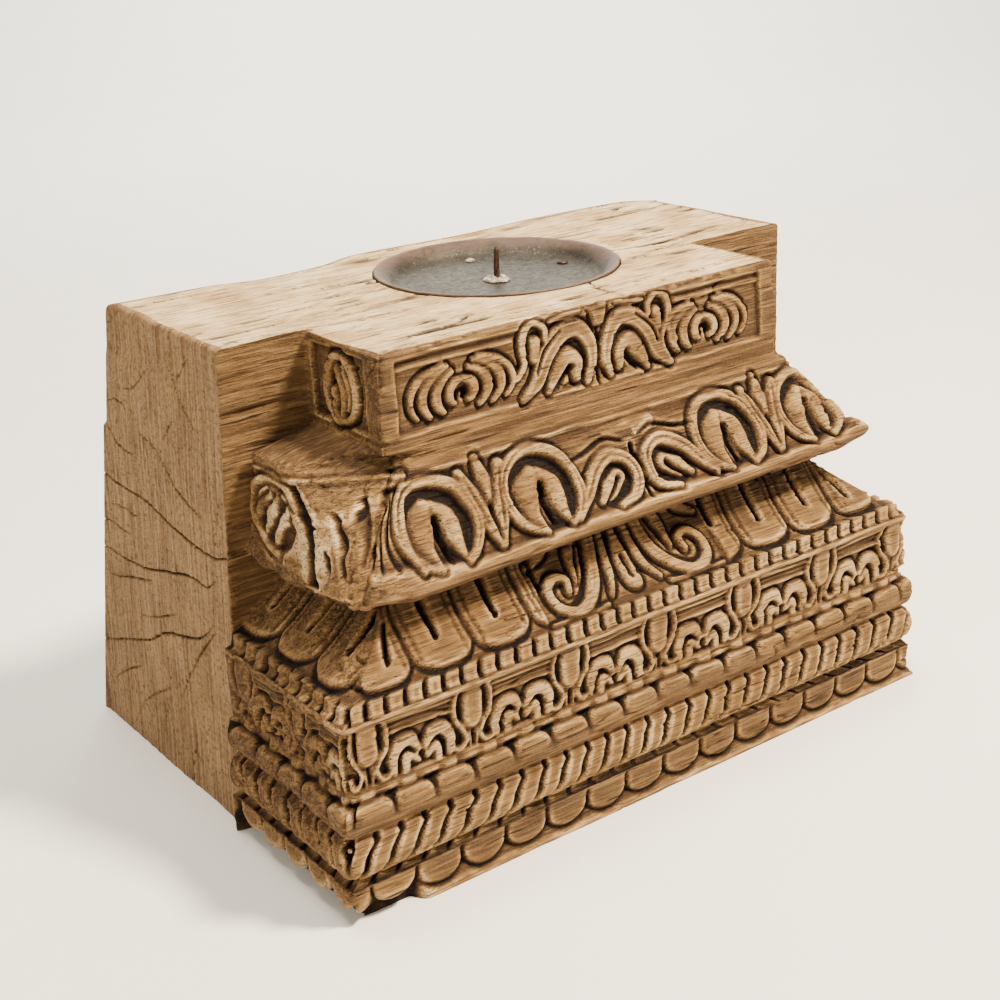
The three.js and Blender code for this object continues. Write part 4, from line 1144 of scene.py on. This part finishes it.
def top_height(x, y, s):
    """The flat top's surface: gentle waves, raised grain, and its cracks."""
    r = Relief(x, y - FRONT)
    top_cracks(r)
    low = 0.45 + 0.4 * noise(x, y, 0, (60, 24, 9), s.seed + 61, 1)
    grain = 0.22 * noise(x, y, 0, (42, 2.4, 9), s.seed + 62, 2)
    pits = 1.8 * np.clip(noise(x, y, 0, (18, 2.4, 9), s.seed + 63, 1) - 0.50, 0, 1)
    line = 1 - np.abs(noise(x, y, 0, (75, 5, 9), s.seed + 64, 1)) / 0.06
    pits = pits + 1.1 * np.clip(line, 0, 1) * smooth(noise(x, y, 4, (46, 16, 9), s.seed + 65, 1) * 3)
    away = np.hypot(x - DISH_MIDDLE[0], y - DISH_MIDDLE[1])
    inner = smooth(9 * DISH_RADIUS / np.maximum(away, 1) - 8)
    low = low * (1 - inner) + 0.25 * inner
    # Its cracks and pits are darkened: painted shade.
    return HEIGHT - np.maximum(low + grain, 0) - pits - r.cuts, np.clip(r.cuts / 1.4 + pits, 0, 1)


def build_timber(s):
    """The whole timber as one closed mesh: its sides, its flat top with the dish's seat, its foot."""
    places, facts = timber_grid(s)
    levels, around = places.shape[:2]
    faces = ring_faces(levels, around)
    points, facts = places.reshape(-1, 3), facts.reshape(-1, 3)
    # dirt picks the first fact, which holds painted shade in cuts and cracks as well as dirt; rubbed picks the second,
    # the weathered top.
    dirt, rubbed = np.array([1, 0, 0]), np.array([0, 1, 0])

    # the flat top, with the seat that the dish is let into
    radius, segments = DISH_RADIUS + 0.35, 180
    turn = np.linspace(0, 2 * math.pi, segments, endpoint=False)
    ring = np.stack([np.cos(turn), np.sin(turn)], 1)
    ragged = 0.22 * noise(*(ring.T * 20), 0, (3, 3, 3), s.seed + 71)
    rim = DISH_MIDDLE + ring * (radius + 0.1 + np.maximum(ragged, -0.1))[:, None]
    free, tris = capped(places[-1, :, :2], [rim], TOP_CELL, s.seed)
    flat = np.vstack([rim, free])
    flat_z, cut_shade_and_dirt = top_height(flat[:, 0], flat[:, 1], s)
    offset = len(points)
    number = np.concatenate([np.arange(around) + offset - around, offset + np.arange(len(flat))])
    faces += number[tris].tolist()
    points = np.vstack([points, np.column_stack([flat, flat_z])])
    facts = np.vstack([facts, upright(cut_shade_and_dirt) * dirt + rubbed])
    last = offset + np.arange(segments)
    floor_z = DISH_LOW[2] - 0.35
    # The seat's walls and floor, under the dish, are given painted shade.
    seat = ((radius + 0.1, HEIGHT - 1.6, 1), (radius - 8.2, floor_z, 1), (12, floor_z, 0.8))
    for size, z, dark in seat:
        new = len(points) + np.arange(segments)
        circle = DISH_MIDDLE + ring * size
        points = np.vstack([points, np.column_stack([circle, np.full(segments, z)])])
        facts = np.vstack([facts, np.full((segments, 3), dark) * dirt])
        faces += np.stack([last, new, np.roll(new, -1), np.roll(last, -1)], 1).tolist()
        last = new
    faces.append(last)

    # the flat foot
    free, tris = capped(places[0, :, :2], [], FOOT_CELL, s.seed + 1)
    number = np.concatenate([np.arange(around), len(points) + np.arange(len(free))])
    faces += number[tris][:, ::-1].tolist()
    points = np.vstack([points, np.column_stack([free, np.zeros(len(free))])])
    facts = np.vstack([facts, np.zeros((len(free), 3))])
    named = dict(zip(("recess", "bleach", "sawn"), facts.T))
    timber = make_object("carved_timber", points, faces, named)
    tidy_normals(timber)
    return timber


# ---- materials ----------------------------------------------------------------------------


def node(tree, kind, inputs=(), out=0, **settings):
    """Adds a node with its settings, gives each input its value or link, and gives back an output."""
    made = tree.nodes.new(kind)
    for key, value in settings.items():
        setattr(made, key, value)
    for name, value in dict(inputs).items():
        socket = made.inputs[name]
        if isinstance(value, bpy.types.NodeSocket):
            tree.links.new(value, socket)
        elif socket.type == "RGBA":
            socket.default_value = (*(linear(value) if isinstance(value, str) else value), 1)
        else:
            socket.default_value = value
    return made.outputs[out] if made.outputs else None


def new_material(name, patterns):
    """A material, its shader, and its solid patterns: each a name, a size in mm, detail and roughness."""
    material = bpy.data.materials.new(name)
    material.use_nodes = True
    tree = material.node_tree
    tree.nodes.clear()
    surface = node(tree, "ShaderNodeBsdfPrincipled")
    node(tree, "ShaderNodeOutputMaterial", {"Surface": surface})
    place = node(tree, "ShaderNodeTexCoord", out="Object")
    made = {"place": place}
    for key, size, detail, rough in patterns:
        scale = [1 / (part * MM) for part in size]
        scaled = node(tree, "ShaderNodeMapping", {"Vector": place, "Scale": scale})
        made[key] = node(
            tree,
            "ShaderNodeTexNoise",
            {"Vector": scaled, "Scale": 1, "Detail": detail, "Roughness": rough},
        )
    return material, tree, surface.node, made


def layered(tree, colour, coats):
    """Lays coats over a colour. Each is a mask, its values at no and full cover, the cover, a colour.

    A Mix node's sockets share their names, so they go by number: share, then both colours."""
    for mask, low, high, cover, coat in coats:
        ends = {"Value": mask, "From Min": low, "From Max": high, "To Max": cover}
        share = node(tree, "ShaderNodeMapRange", ends)
        colour = node(
            tree, "ShaderNodeMix", {0: share, 6: colour, 7: coat}, out=2, data_type="RGBA"
        )
    return colour


def weathered_hardwood(s):
    """Old hardwood, hand carved, washed by weather and thinly waxed. It gives the eye a dry straw top, brown carving
    with pale crests that are partly worn and partly painted highlight, painted black shade in the cuts along with some
    dirt, fine streaks along the grain, and rings and pores on the sawn ends."""
    material, tree, shader, p = new_material(
        "weathered_carved_hardwood",
        (
            ("streak", (34, 1.5, 1.3), 4, 0.62),  # bands of early and late wood
            ("fibre", (15, 0.9, 0.8), 3, 0.6),  # drawn coarser than real fibres, to show
            ("check", (30, 1.1, 1.0), 2, 0.5),  # hair cracks along the grain
            ("broad", (110, 16, 12), 3, 0.55),
            ("blotch", (24, 18, 14), 4, 0.6),
            ("speck", (1.6, 1.6, 1.6), 2, 0.6),
            ("wander", (60, 26, 26), 3, 0.55),
            ("saw", (30, 1.4, 38), 3, 0.6),
        ),
    )
    # The first attribute holds painted shade in cuts, cracks and hollows, with some dirt; the second holds wear and
    # painted highlight.
    recess, bleach, sawn = (
        node(tree, "ShaderNodeAttribute", out="Fac", attribute_name=fact)
        for fact in ("recess", "bleach", "sawn")
    )
    wood = layered(
        tree,
        "#453120",
        (
            (p["broad"], 0.3, 0.7, 1.0, s.honey),
            (p["streak"], 0.47, 0.70, 0.75, "#9b794e"),
            (p["streak"], 0.50, 0.32, 0.75, "#2d1e10"),
            (p["blotch"], 0.52, 0.74, 0.5, "#473119"),
        ),
    )
    # Straw for the weathered top and the crests, where it is partly painted highlight.
    worn_and_highlit_straw = layered(tree, s.straw, ((p["blotch"], 0.35, 0.72, 1.0, "#c8a26c"),))
    tone_ends = {"Value": p["blotch"], "From Min": 0.25, "From Max": 0.75}
    tone_ends |= {"To Min": 1.0, "To Max": 0.6}
    tone = node(tree, "ShaderNodeMapRange", tone_ends)
    # The pale coats below are wear, and on the crests partly painted highlight.
    pale = node(tree, "ShaderNodeMath", {0: bleach, 1: tone}, operation="MULTIPLY")
    wood = layered(
        tree,
        wood,
        (
            (pale, 0.06, 0.62, 0.80, "#ae8550"),
            (pale, 0.42, 0.85, 0.97, worn_and_highlit_straw),
            (p["fibre"], 0.49, 0.34, 0.75, "#4f3820"),
            (p["streak"], 0.43, 0.33, 0.45, "#694622"),
            (p["check"], 0.385, 0.29, 0.9, "#20140b"),
        ),
    )

    # the sawn ends: grey-brown, with the year's rings round the pith and dark pores
    heart = (0, (FRONT + PITH[0]) * MM, PITH[1] * MM)
    away = node(tree, "ShaderNodeVectorMath", {0: p["place"], 1: heart}, operation="SUBTRACT")
    flat = node(tree, "ShaderNodeVectorMath", {0: away, 1: (0, 1, 1)}, operation="MULTIPLY")
    radius = node(tree, "ShaderNodeVectorMath", {0: flat}, out="Value", operation="LENGTH")
    ring_width, wander = 3.1 * MM, 9 * MM
    wavy = node(
        tree, "ShaderNodeMath", {0: p["wander"], 1: wander, 2: radius}, operation="MULTIPLY_ADD"
    )
    turns = node(
        tree, "ShaderNodeMath", {0: wavy, 1: 2 * math.pi / ring_width}, operation="MULTIPLY"
    )
    rings = node(tree, "ShaderNodeMath", {0: turns}, operation="SINE")
    end = layered(
        tree,
        "#745738",
        (
            (p["blotch"], 0.3, 0.7, 1.0, "#95744b"),
            (rings, 0.2, 1.0, 0.25, "#5a3d20"),
            (p["saw"], 0.42, 0.7, 0.55, "#c2a075"),
            (p["speck"], 0.52, 0.68, 0.6, "#4a2f16"),
            (p["saw"], 0.44, 0.32, 0.5, "#4a2f16"),
        ),
    )

    # painted shade lies in the cuts, with some dirt, its edge broken up by the grain
    ragged = node(
        tree, "ShaderNodeMath", {0: p["streak"], 1: 0.5, 2: recess}, operation="MULTIPLY_ADD"
    )
    cut_shade_and_dirt = node(
        tree, "ShaderNodeMath", {0: p["speck"], 1: 0.35, 2: ragged}, operation="MULTIPLY_ADD"
    )
    wood = layered(
        tree,
        wood,
        (
            (sawn, 0, 1, 1, end),
            (cut_shade_and_dirt, 0.54, 1.02, 0.88, "#3c2611"),
            (cut_shade_and_dirt, 0.96, 1.34, 1.0, s.umber),
        ),
    )
    tree.links.new(wood, shader.inputs["Base Color"])
    rough_ends = {"Value": p["streak"], "From Min": 0.3, "From Max": 0.7}
    rough_ends |= {"To Min": 0.62, "To Max": 0.86}
    rough = node(tree, "ShaderNodeMapRange", rough_ends)
    tree.links.new(rough, shader.inputs["Roughness"])
    shader.inputs["IOR"].default_value = 1.5
    shader.inputs["Specular IOR Level"].default_value = 0.2
    relief = p["streak"]
    for key, share in (("fibre", 1.0), ("speck", 0.4)):
        relief = node(
            tree, "ShaderNodeMath", {0: p[key], 1: share, 2: relief}, operation="MULTIPLY_ADD"
        )
    bump = node(tree, "ShaderNodeBump", {"Height": relief, "Strength": 1.0, "Distance": 1.8 * MM})
    tree.links.new(bump, shader.inputs["Normal"])
    return material


def rusted_steel(s):
    """Pressed mild steel gone to patina and rust. It gives the eye a dull grey floor with a soft
    sheen and faint spots, and a matt brown band of rust where the side slopes up."""
    material, tree, shader, p = new_material(
        "rusted_mild_steel_pressed",
        (
            ("spots", (2.2, 2.2, 2.2), 4, 0.65),
            ("cloud", (17, 17, 17), 4, 0.55),
            ("fleck", (0.8, 0.8, 0.8), 2, 0.6),
        ),
    )
    side = node(tree, "ShaderNodeAttribute", out="Fac", attribute_name="side")
    metal = layered(
        tree,
        s.patina,
        (
            (p["cloud"], 0.35, 0.68, 1.0, "#453e34"),
            (p["spots"], 0.54, 0.68, 0.65, "#241f19"),
            (p["fleck"], 0.60, 0.72, 0.4, "#9a9384"),
        ),
    )
    rust = layered(
        tree,
        s.rust,
        (
            (p["spots"], 0.35, 0.7, 1.0, "#5c4534"),
            (p["cloud"], 0.50, 0.66, 0.7, "#38220f"),
        ),
    )
    uneven = node(tree, "ShaderNodeMath", {0: p["cloud"], 1: 0.9, 2: side}, operation="MULTIPLY_ADD")
    share = node(tree, "ShaderNodeMapRange", {"Value": uneven, "From Min": 0.64, "From Max": 1.10})
    colour = node(tree, "ShaderNodeMix", {0: share, 6: metal, 7: rust}, out=2, data_type="RGBA")
    tree.links.new(colour, shader.inputs["Base Color"])
    for socket, value, low, high, at_low, at_high in (
        ("Metallic", share, 0, 1, 0.75, 0.12),
        ("Roughness", p["spots"], 0.3, 0.7, 0.40, 0.62),
    ):
        ends = {"Value": value, "From Min": low, "From Max": high, "To Min": at_low, "To Max": at_high}
        tree.links.new(node(tree, "ShaderNodeMapRange", ends), shader.inputs[socket])
    relief = node(
        tree, "ShaderNodeMath", {0: p["fleck"], 1: 0.4, 2: p["spots"]}, operation="MULTIPLY_ADD"
    )
    bump = node(tree, "ShaderNodeBump", {"Height": relief, "Strength": 0.5, "Distance": 0.35 * MM})
    tree.links.new(bump, shader.inputs["Normal"])
    return material


def nail_iron():
    """Forged iron of an old cut nail. It gives the eye a nearly black brown, with small glints on
    its edges."""
    material, tree, shader, p = new_material(
        "rusted_iron_forged", (("spots", (1.1, 1.1, 2.4), 3, 0.6),)
    )
    colour = layered(tree, "#20150e", ((p["spots"], 0.4, 0.68, 1.0, "#5c3d29"),))
    tree.links.new(colour, shader.inputs["Base Color"])
    shader.inputs["Metallic"].default_value = 0.45
    rough_ends = {"Value": p["spots"], "From Min": 0.3, "From Max": 0.7}
    rough_ends |= {"To Min": 0.38, "To Max": 0.7}
    rough = node(tree, "ShaderNodeMapRange", rough_ends)
    tree.links.new(rough, shader.inputs["Roughness"])
    bump = node(tree, "ShaderNodeBump", {"Height": p["spots"], "Strength": 0.6, "Distance": 0.25 * MM})
    tree.links.new(bump, shader.inputs["Normal"])
    return material


def weld_slag(s):
    """Weld metal with slag and ash on it. It gives the eye a lumpy grey crust, with painted highlight in near white on
    the lumps' tops and painted shade in dark brown between them."""
    material, tree, shader, p = new_material(
        "weld_slag_painted_light", (("lumps", (1.6, 1.6, 1.2), 4, 0.65),)
    )
    # Dark brown where the bump lies low and near white where it stands high: painted shade and painted highlight over
    # the crust's grey.
    colour = layered(
        tree,
        "#5d4c3c",
        (
            (p["lumps"], 0.40, 0.58, 1.0, s.crust),
            (p["lumps"], 0.56, 0.72, 1.0, "#e2dccf"),
        ),
    )
    tree.links.new(colour, shader.inputs["Base Color"])
    shader.inputs["Metallic"].default_value = 0.1
    rough_ends = {"Value": p["lumps"], "From Min": 0.3, "From Max": 0.7}
    rough_ends |= {"To Min": 0.7, "To Max": 0.45}
    rough = node(tree, "ShaderNodeMapRange", rough_ends)
    tree.links.new(rough, shader.inputs["Roughness"])
    bump = node(tree, "ShaderNodeBump", {"Height": p["lumps"], "Strength": 0.7, "Distance": 0.4 * MM})
    tree.links.new(bump, shader.inputs["Normal"])
    return material


def stage_paper(s):
    """Matt studio paper. It gives the eye a plain pale ground."""
    material, tree, shader, p = new_material("studio_paper_matt", (("fibre", (60, 60, 60), 2, 0.5),))
    colour = layered(tree, s.floor, ((p["fibre"], 0.3, 0.7, 1.0, "#f0ede7"),))
    tree.links.new(colour, shader.inputs["Base Color"])
    shader.inputs["Roughness"].default_value = 0.9
    return material


# ---- dish, spike, crust and tacks ---------------------------------------------------------


def turned_rings(profile, segments, middle, wobble=None):
    """Points of a turned shape, ring by ring, from (radius, z) places, with an optional wobble."""
    turn = np.linspace(0, 2 * math.pi, segments, endpoint=False)
    points = []
    for i, (radius, z) in enumerate(profile):
        shift_r, shift_z = wobble(i, turn, radius) if wobble else (0, 0)
        r = radius + shift_r
        x, y = middle[0] + r * np.cos(turn), middle[1] + r * np.sin(turn)
        points.append(np.stack([x, y, z + shift_z + 0 * turn], 1))
    return np.array(points)


def ring_faces(rings, segments):
    """Quads between each ring and the next."""
    lower = np.arange((rings - 1) * segments).reshape(rings - 1, segments)
    right = np.roll(lower, -1, 1)
    return np.stack([lower, right, right + segments, lower + segments], -1).reshape(-1, 4).tolist()


def capped_rings(rings, segments):
    """The same, closed with one flat face at each end."""
    ends = [list(range(segments)), list(range((rings - 1) * segments, rings * segments))]
    return ring_faces(rings, segments) + ends


def build_dish(s):
    """The pressed dish: a flat floor, a sloping side and a thin ragged rim."""
    radius, segments = DISH_RADIUS, 160
    rim_z, under_z = DISH_HIGH[2], DISH_LOW[2]
    floor_z = under_z + s.sheet
    floor_r = radius - s.side - s.sheet * 0.9
    floor = [(r, floor_z) for r in np.linspace(0.4, floor_r - 3, 26)]
    bend = ((-1.4, 0.12), (-0.4, 0.45), (0.5, 0.95))
    side = [(floor_r + out, floor_z + up) for out, up in bend]
    for t in np.linspace(0.2, 0.93, 10):
        up = (rim_z - floor_z) * (t + 0.08 * math.sin(math.pi * t))
        side.append((floor_r + s.side * t, floor_z + up))
    lip = ((0.75, 0.08), (0.3, 0.02), (0.05, 0.25), (0.02, 0.7))
    side += [(radius - into, rim_z - down) for into, down in lip]
    under = [(radius - 0.5, rim_z - 1.3), (floor_r + s.sheet * 1.2 + 2, under_z + 1.0)]
    under += [(floor_r, under_z), (0.4, under_z)]
    profile = floor + side + under
    flat = len(floor) + len(side) - 14    # where rust starts to take over from patina

    def wobble(i, turn, r):
        x, y = r * np.cos(turn), r * np.sin(turn)
        if i >= len(floor) + len(side):
            return 0, 0
        dents = 0.16 * noise(x, y, 0, (15, 15, 9), 81, 2)
        dents = dents + 0.05 * noise(x, y, 3, (2.5, 2.5, 9), 82)
        torn = noise(np.cos(turn) * 30, np.sin(turn) * 30, 0, (4, 4, 4), 83)
        ragged = 0.35 * np.clip(torn - 0.1, 0, 1)
        edge = smooth((r - (radius - 2)) / 1.5)
        right = smooth(np.cos(turn - 0.5) * 1.5)
        return -edge * ragged * (0.5 + right), dents * (1 - edge) - edge * ragged * 0.8

    rings = turned_rings(profile, segments, DISH_MIDDLE, wobble)
    faces = ring_faces(len(profile), segments)
    points = np.vstack([rings.reshape(-1, 3), [[*DISH_MIDDLE, floor_z], [*DISH_MIDDLE, under_z]]])
    top, low = len(points) - 2, len(points) - 1
    last = (len(profile) - 1) * segments
    faces += [[(i + 1) % segments, i, top] for i in range(segments)]
    faces += [[last + i, last + (i + 1) % segments, low] for i in range(segments)]
    rusty = np.clip((np.arange(len(profile)) - flat) / 11, 0, 1)
    side_fact = np.append(np.repeat(rusty, segments), [0, 0])
    dish = make_object("pressed_dish", points, faces, dict(side=side_fact))
    tidy_normals(dish)
    return dish


def tidy_normals(thing):
    """Turns every face outwards."""
    work = bmesh.new()
    work.from_mesh(thing.data)
    bmesh.ops.recalc_face_normals(work, faces=work.faces)
    work.to_mesh(thing.data)
    work.free()


def build_spike(s):
    """An old cut nail: square, tapered, leaning a little, with its point cut slantwise."""
    middle = ((SPIKE_LOW + SPIKE_HIGH) / 2)[:2]
    low, high = WELD_LOW[2] + 0.35, SPIKE_HIGH[2]
    levels, sides, point_from = 26, 16, 0.86
    points = []
    turn = np.linspace(0, 2 * math.pi, sides, endpoint=False) + math.pi / sides
    square = 1 / np.maximum(np.abs(np.cos(turn)), np.abs(np.sin(turn))) ** 0.8
    for i in range(levels):
        t = i / (levels - 1)
        point = max(0, (t - point_from) / (1 - point_from))
        half = s.width / 2 * (1.0 - 0.22 * t) * (1 - 0.8 * point**1.3)
        rough = noise(np.cos(turn) * 2, np.sin(turn) * 2, t * 14, (1.6, 1.6, 1.6), 84)
        rough = 1 + 0.10 * rough
        x = middle[0] + half * square * rough * np.cos(turn) * 1.05 + 0.5 * t * t
        y = middle[1] + half * square * rough * np.sin(turn) * 0.85
        slant = 0.5 * np.cos(turn) * (t > 0.99)
        points += list(np.stack([x, y, np.minimum(low + (high - low) * t + slant, high)], 1))
    faces = capped_rings(levels, sides)
    spike = make_object("nail_spike", points, faces)
    tidy_normals(spike)
    return spike


def lumpy_mound(name, middle, low, radius, height, seed, rough=0.35):
    """A low closed mound with an uneven edge and surface."""
    segments, rings = 56, 18
    angle = np.linspace(0.06, math.pi / 2, rings)
    profile = list(zip(radius * np.sin(angle), low + height * np.cos(angle)))

    def wobble(i, turn, r):
        x, y = r * np.cos(turn), r * np.sin(turn)
        size = 0.3 * radius
        lump = noise(x + middle[0], y + middle[1], i * 0.2, (size, size, 3), seed, 3)
        crown = 1 - i / (rings - 1)
        out = lump * rough * radius * 0.35 * (1 - 0.6 * crown) - 0.07 * radius
        return out, (lump - 0.3) * rough * height * crown

    top = turned_rings(profile, segments, middle, wobble)
    foot = top[-1] * [1, 1, 0] + [0, 0, low - 0.15]
    points = np.vstack([top.reshape(-1, 3), foot])
    faces = capped_rings(rings + 1, segments)
    mound = make_object(name, points, faces)
    tidy_normals(mound)
    return mound


# ---- operators ----------------------------------------------------------------------------


class HOLDER_OT_timber(bpy.types.Operator):
    """Carve the hardwood block"""

    bl_idname = "holder.timber"
    bl_label = "Carve the timber"

    def execute(self, context):
        s = in_millimetres(context.scene.holder_timber)
        timber = build_timber(s)
        settle(timber, weathered_hardwood(s), "carved_wood", "carved_block")
        return {"FINISHED"}


class HOLDER_OT_dish(bpy.types.Operator):
    """Press the steel candle dish"""

    bl_idname = "holder.dish"
    bl_label = "Press the dish"

    def execute(self, context):
        s = in_millimetres(context.scene.holder_dish)
        settle(build_dish(s), rusted_steel(s), "dish_steel", "candle_dish")
        return {"FINISHED"}


class HOLDER_OT_spike(bpy.types.Operator):
    """Set the nail spike in its weld crust"""

    bl_idname = "holder.spike"
    bl_label = "Set the spike"

    def execute(self, context):
        s = in_millimetres(context.scene.holder_spike)
        settle(build_spike(s), nail_iron(), "spike_iron", "spike")
        middle = ((WELD_LOW + WELD_HIGH) / 2)[:2]
        size = (WELD_HIGH - WELD_LOW) / 2
        crust = lumpy_mound("weld_crust", middle, WELD_LOW[2], size[0], size[2] * 2, 85, 0.8)
        settle(crust, weld_slag(s), "weld_crust", "spike_weld")
        return {"FINISHED"}


class HOLDER_OT_tacks(bpy.types.Operator):
    """Drive the two tacks that hold the dish"""

    bl_idname = "holder.tacks"
    bl_label = "Drive the tacks"

    def execute(self, context):
        for number, name in enumerate(TACKS):
            low, high = (np.array(corner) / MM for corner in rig.box(name))
            middle, head, height = ((low + high) / 2)[:2], (high - low)[0] / 2, 1.0
            shape = (middle, high[2] - height, head, height, 86 + number, 0.5)
            tack = lumpy_mound(f"tack_head_{number + 1}", *shape)
            if number == 0:
                settle(tack, nail_iron(), "spike_iron", name)
            else:
                crust = weld_slag(in_millimetres(context.scene.holder_spike))
                settle(tack, crust, "weld_crust", name)
        return {"FINISHED"}


class HOLDER_OT_stage(bpy.types.Operator):
    """Set the floor, the lights and the camera"""

    bl_idname = "holder.stage"
    bl_label = "Set the stage"

    def execute(self, context):
        s = in_millimetres(context.scene.holder_stage)
        build_floor(s)
        build_lights()
        build_camera(s)
        return {"FINISHED"}


def build_floor(s):
    """A wide floor that curves up into a backdrop behind the holder."""
    wide, near, far, tall, sweep = 3200, -2600, 2400, 2600, 700
    line = [(near, 0), (far - sweep, 0)]
    line += [
        (far - sweep + sweep * math.sin(a), sweep * (1 - math.cos(a)))
        for a in np.linspace(0.1, math.pi / 2, 12)
    ]
    line.append((far, tall))
    turn = Matrix.Rotation(math.radians(-35), 3, "Z")
    points = [turn @ Vector((x, y, z - 0.02)) for y, z in line for x in (-wide, wide)]
    faces = [[2 * i, 2 * i + 1, 2 * i + 3, 2 * i + 2] for i in range(len(line) - 1)]
    floor = make_object("studio_floor", [list(p) for p in points], faces)
    floor.data.materials.append(stage_paper(s))
    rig.stage(floor)


def build_lights():
    """A big soft key high on the right, a broad fill on the left, and a pale room."""
    # each light's name, place, width, watts and colour, and the place it shines at
    lights = (
        ("key_light", (430, -560, 1120), 240, 56, "#ffefd4", (0, 0, 80)),
        ("top_light", (-150, 200, 1300), 500, 16, "#fff6e6", (0, 0, 80)),
        ("fill_light", (-1100, -420, 420), 600, 9, "#f6ead8", (0, 0, 80)),
        ("backdrop_light", (760, 1090, 1500), 900, 78, "#fffdf6", (1377, 1966, 300)),
    )
    for name, place, size, power, colour, target in lights:
        data = bpy.data.lights.new(name, "AREA")
        data.shape, data.size, data.energy, data.color = "DISK", size * MM, power, linear(colour)
        lamp = bpy.data.objects.new(name, data)
        lamp.location = Vector(place) * MM
        lamp.rotation_mode = "QUATERNION"
        lamp.rotation_quaternion = (Vector(target) * MM - lamp.location).to_track_quat("-Z", "Y")
        bpy.context.scene.collection.objects.link(lamp)
    world = bpy.data.worlds.new("pale_room")
    world.use_nodes = True
    world.node_tree.nodes["Background"].inputs[0].default_value = (*linear("#f7f4ee"), 1)
    world.node_tree.nodes["Background"].inputs[1].default_value = 0.33
    bpy.context.scene.world = world


def build_camera(s):
    """A camera on the left, a little above, looking at the left corner of the carving."""
    place = Vector((-332.4, -472.2, 307.7))
    yaw, pitch, roll = -0.6177, 0.3741, -0.0517    # in radians
    forward = Vector(
        (-math.sin(yaw) * math.cos(pitch), math.cos(yaw) * math.cos(pitch), -math.sin(pitch))
    )
    level = Vector((math.cos(yaw), math.sin(yaw), 0))
    upright = level.cross(forward)
    right = math.cos(roll) * level + math.sin(roll) * upright
    above = -math.sin(roll) * level + math.cos(roll) * upright
    data = bpy.data.cameras.new("camera")
    data.lens, data.sensor_width = s.lens, 36
    data.clip_start, data.clip_end = 0.01, 20
    camera = bpy.data.objects.new("camera", data)
    turned = Matrix((right, above, -forward)).transposed().to_4x4()
    camera.matrix_world = Matrix.Translation(place * MM) @ turned
    bpy.context.scene.collection.objects.link(camera)
    bpy.context.scene.camera = camera


class HOLDER_PT_panel(bpy.types.Panel):
    """Everything that makes the candle holder, in order"""

    bl_label = "Carved candle holder"
    bl_idname = "HOLDER_PT_panel"
    bl_space_type = "VIEW_3D"
    bl_region_type = "UI"
    bl_category = "Candle holder"

    def draw(self, context):
        for operator, group in STEPS:
            box = self.layout.box()
            box.operator(operator)
            settings = getattr(context.scene, group, None)
            for name in settings.bl_rna.properties.keys() if settings else ():
                if name not in {"rna_type", "name"}:
                    box.prop(settings, name)


STEPS = (
    ("holder.timber", "holder_timber"),
    ("holder.dish", "holder_dish"),
    ("holder.spike", "holder_spike"),
    ("holder.tacks", ""),
    ("holder.stage", "holder_stage"),
)
GROUPS = {
    "holder_timber": TimberSettings,
    "holder_dish": DishSettings,
    "holder_spike": SpikeSettings,
    "holder_stage": StageSettings,
}
OPERATORS = (HOLDER_OT_timber, HOLDER_OT_dish, HOLDER_OT_spike, HOLDER_OT_tacks, HOLDER_OT_stage)


def register():
    for cls in (*GROUPS.values(), *OPERATORS, HOLDER_PT_panel):
        bpy.utils.register_class(cls)
    for name, cls in GROUPS.items():
        setattr(bpy.types.Scene, name, PointerProperty(type=cls))


def unregister():
    for name in GROUPS:
        delattr(bpy.types.Scene, name)
    for cls in reversed((*GROUPS.values(), *OPERATORS, HOLDER_PT_panel)):
        bpy.utils.unregister_class(cls)


def main():
    register()
    bpy.ops.holder.timber()
    bpy.ops.holder.dish()
    bpy.ops.holder.spike()
    bpy.ops.holder.tacks()
    bpy.ops.holder.stage()
    visual_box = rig.bounds()
    size = {"cad": [list(corner) for corner in cad_box], "visual": [list(corner) for corner in visual_box]}
    with open("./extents.json", "w") as file:
        json.dump(size, file)


if __name__ == "__main__":
    main()
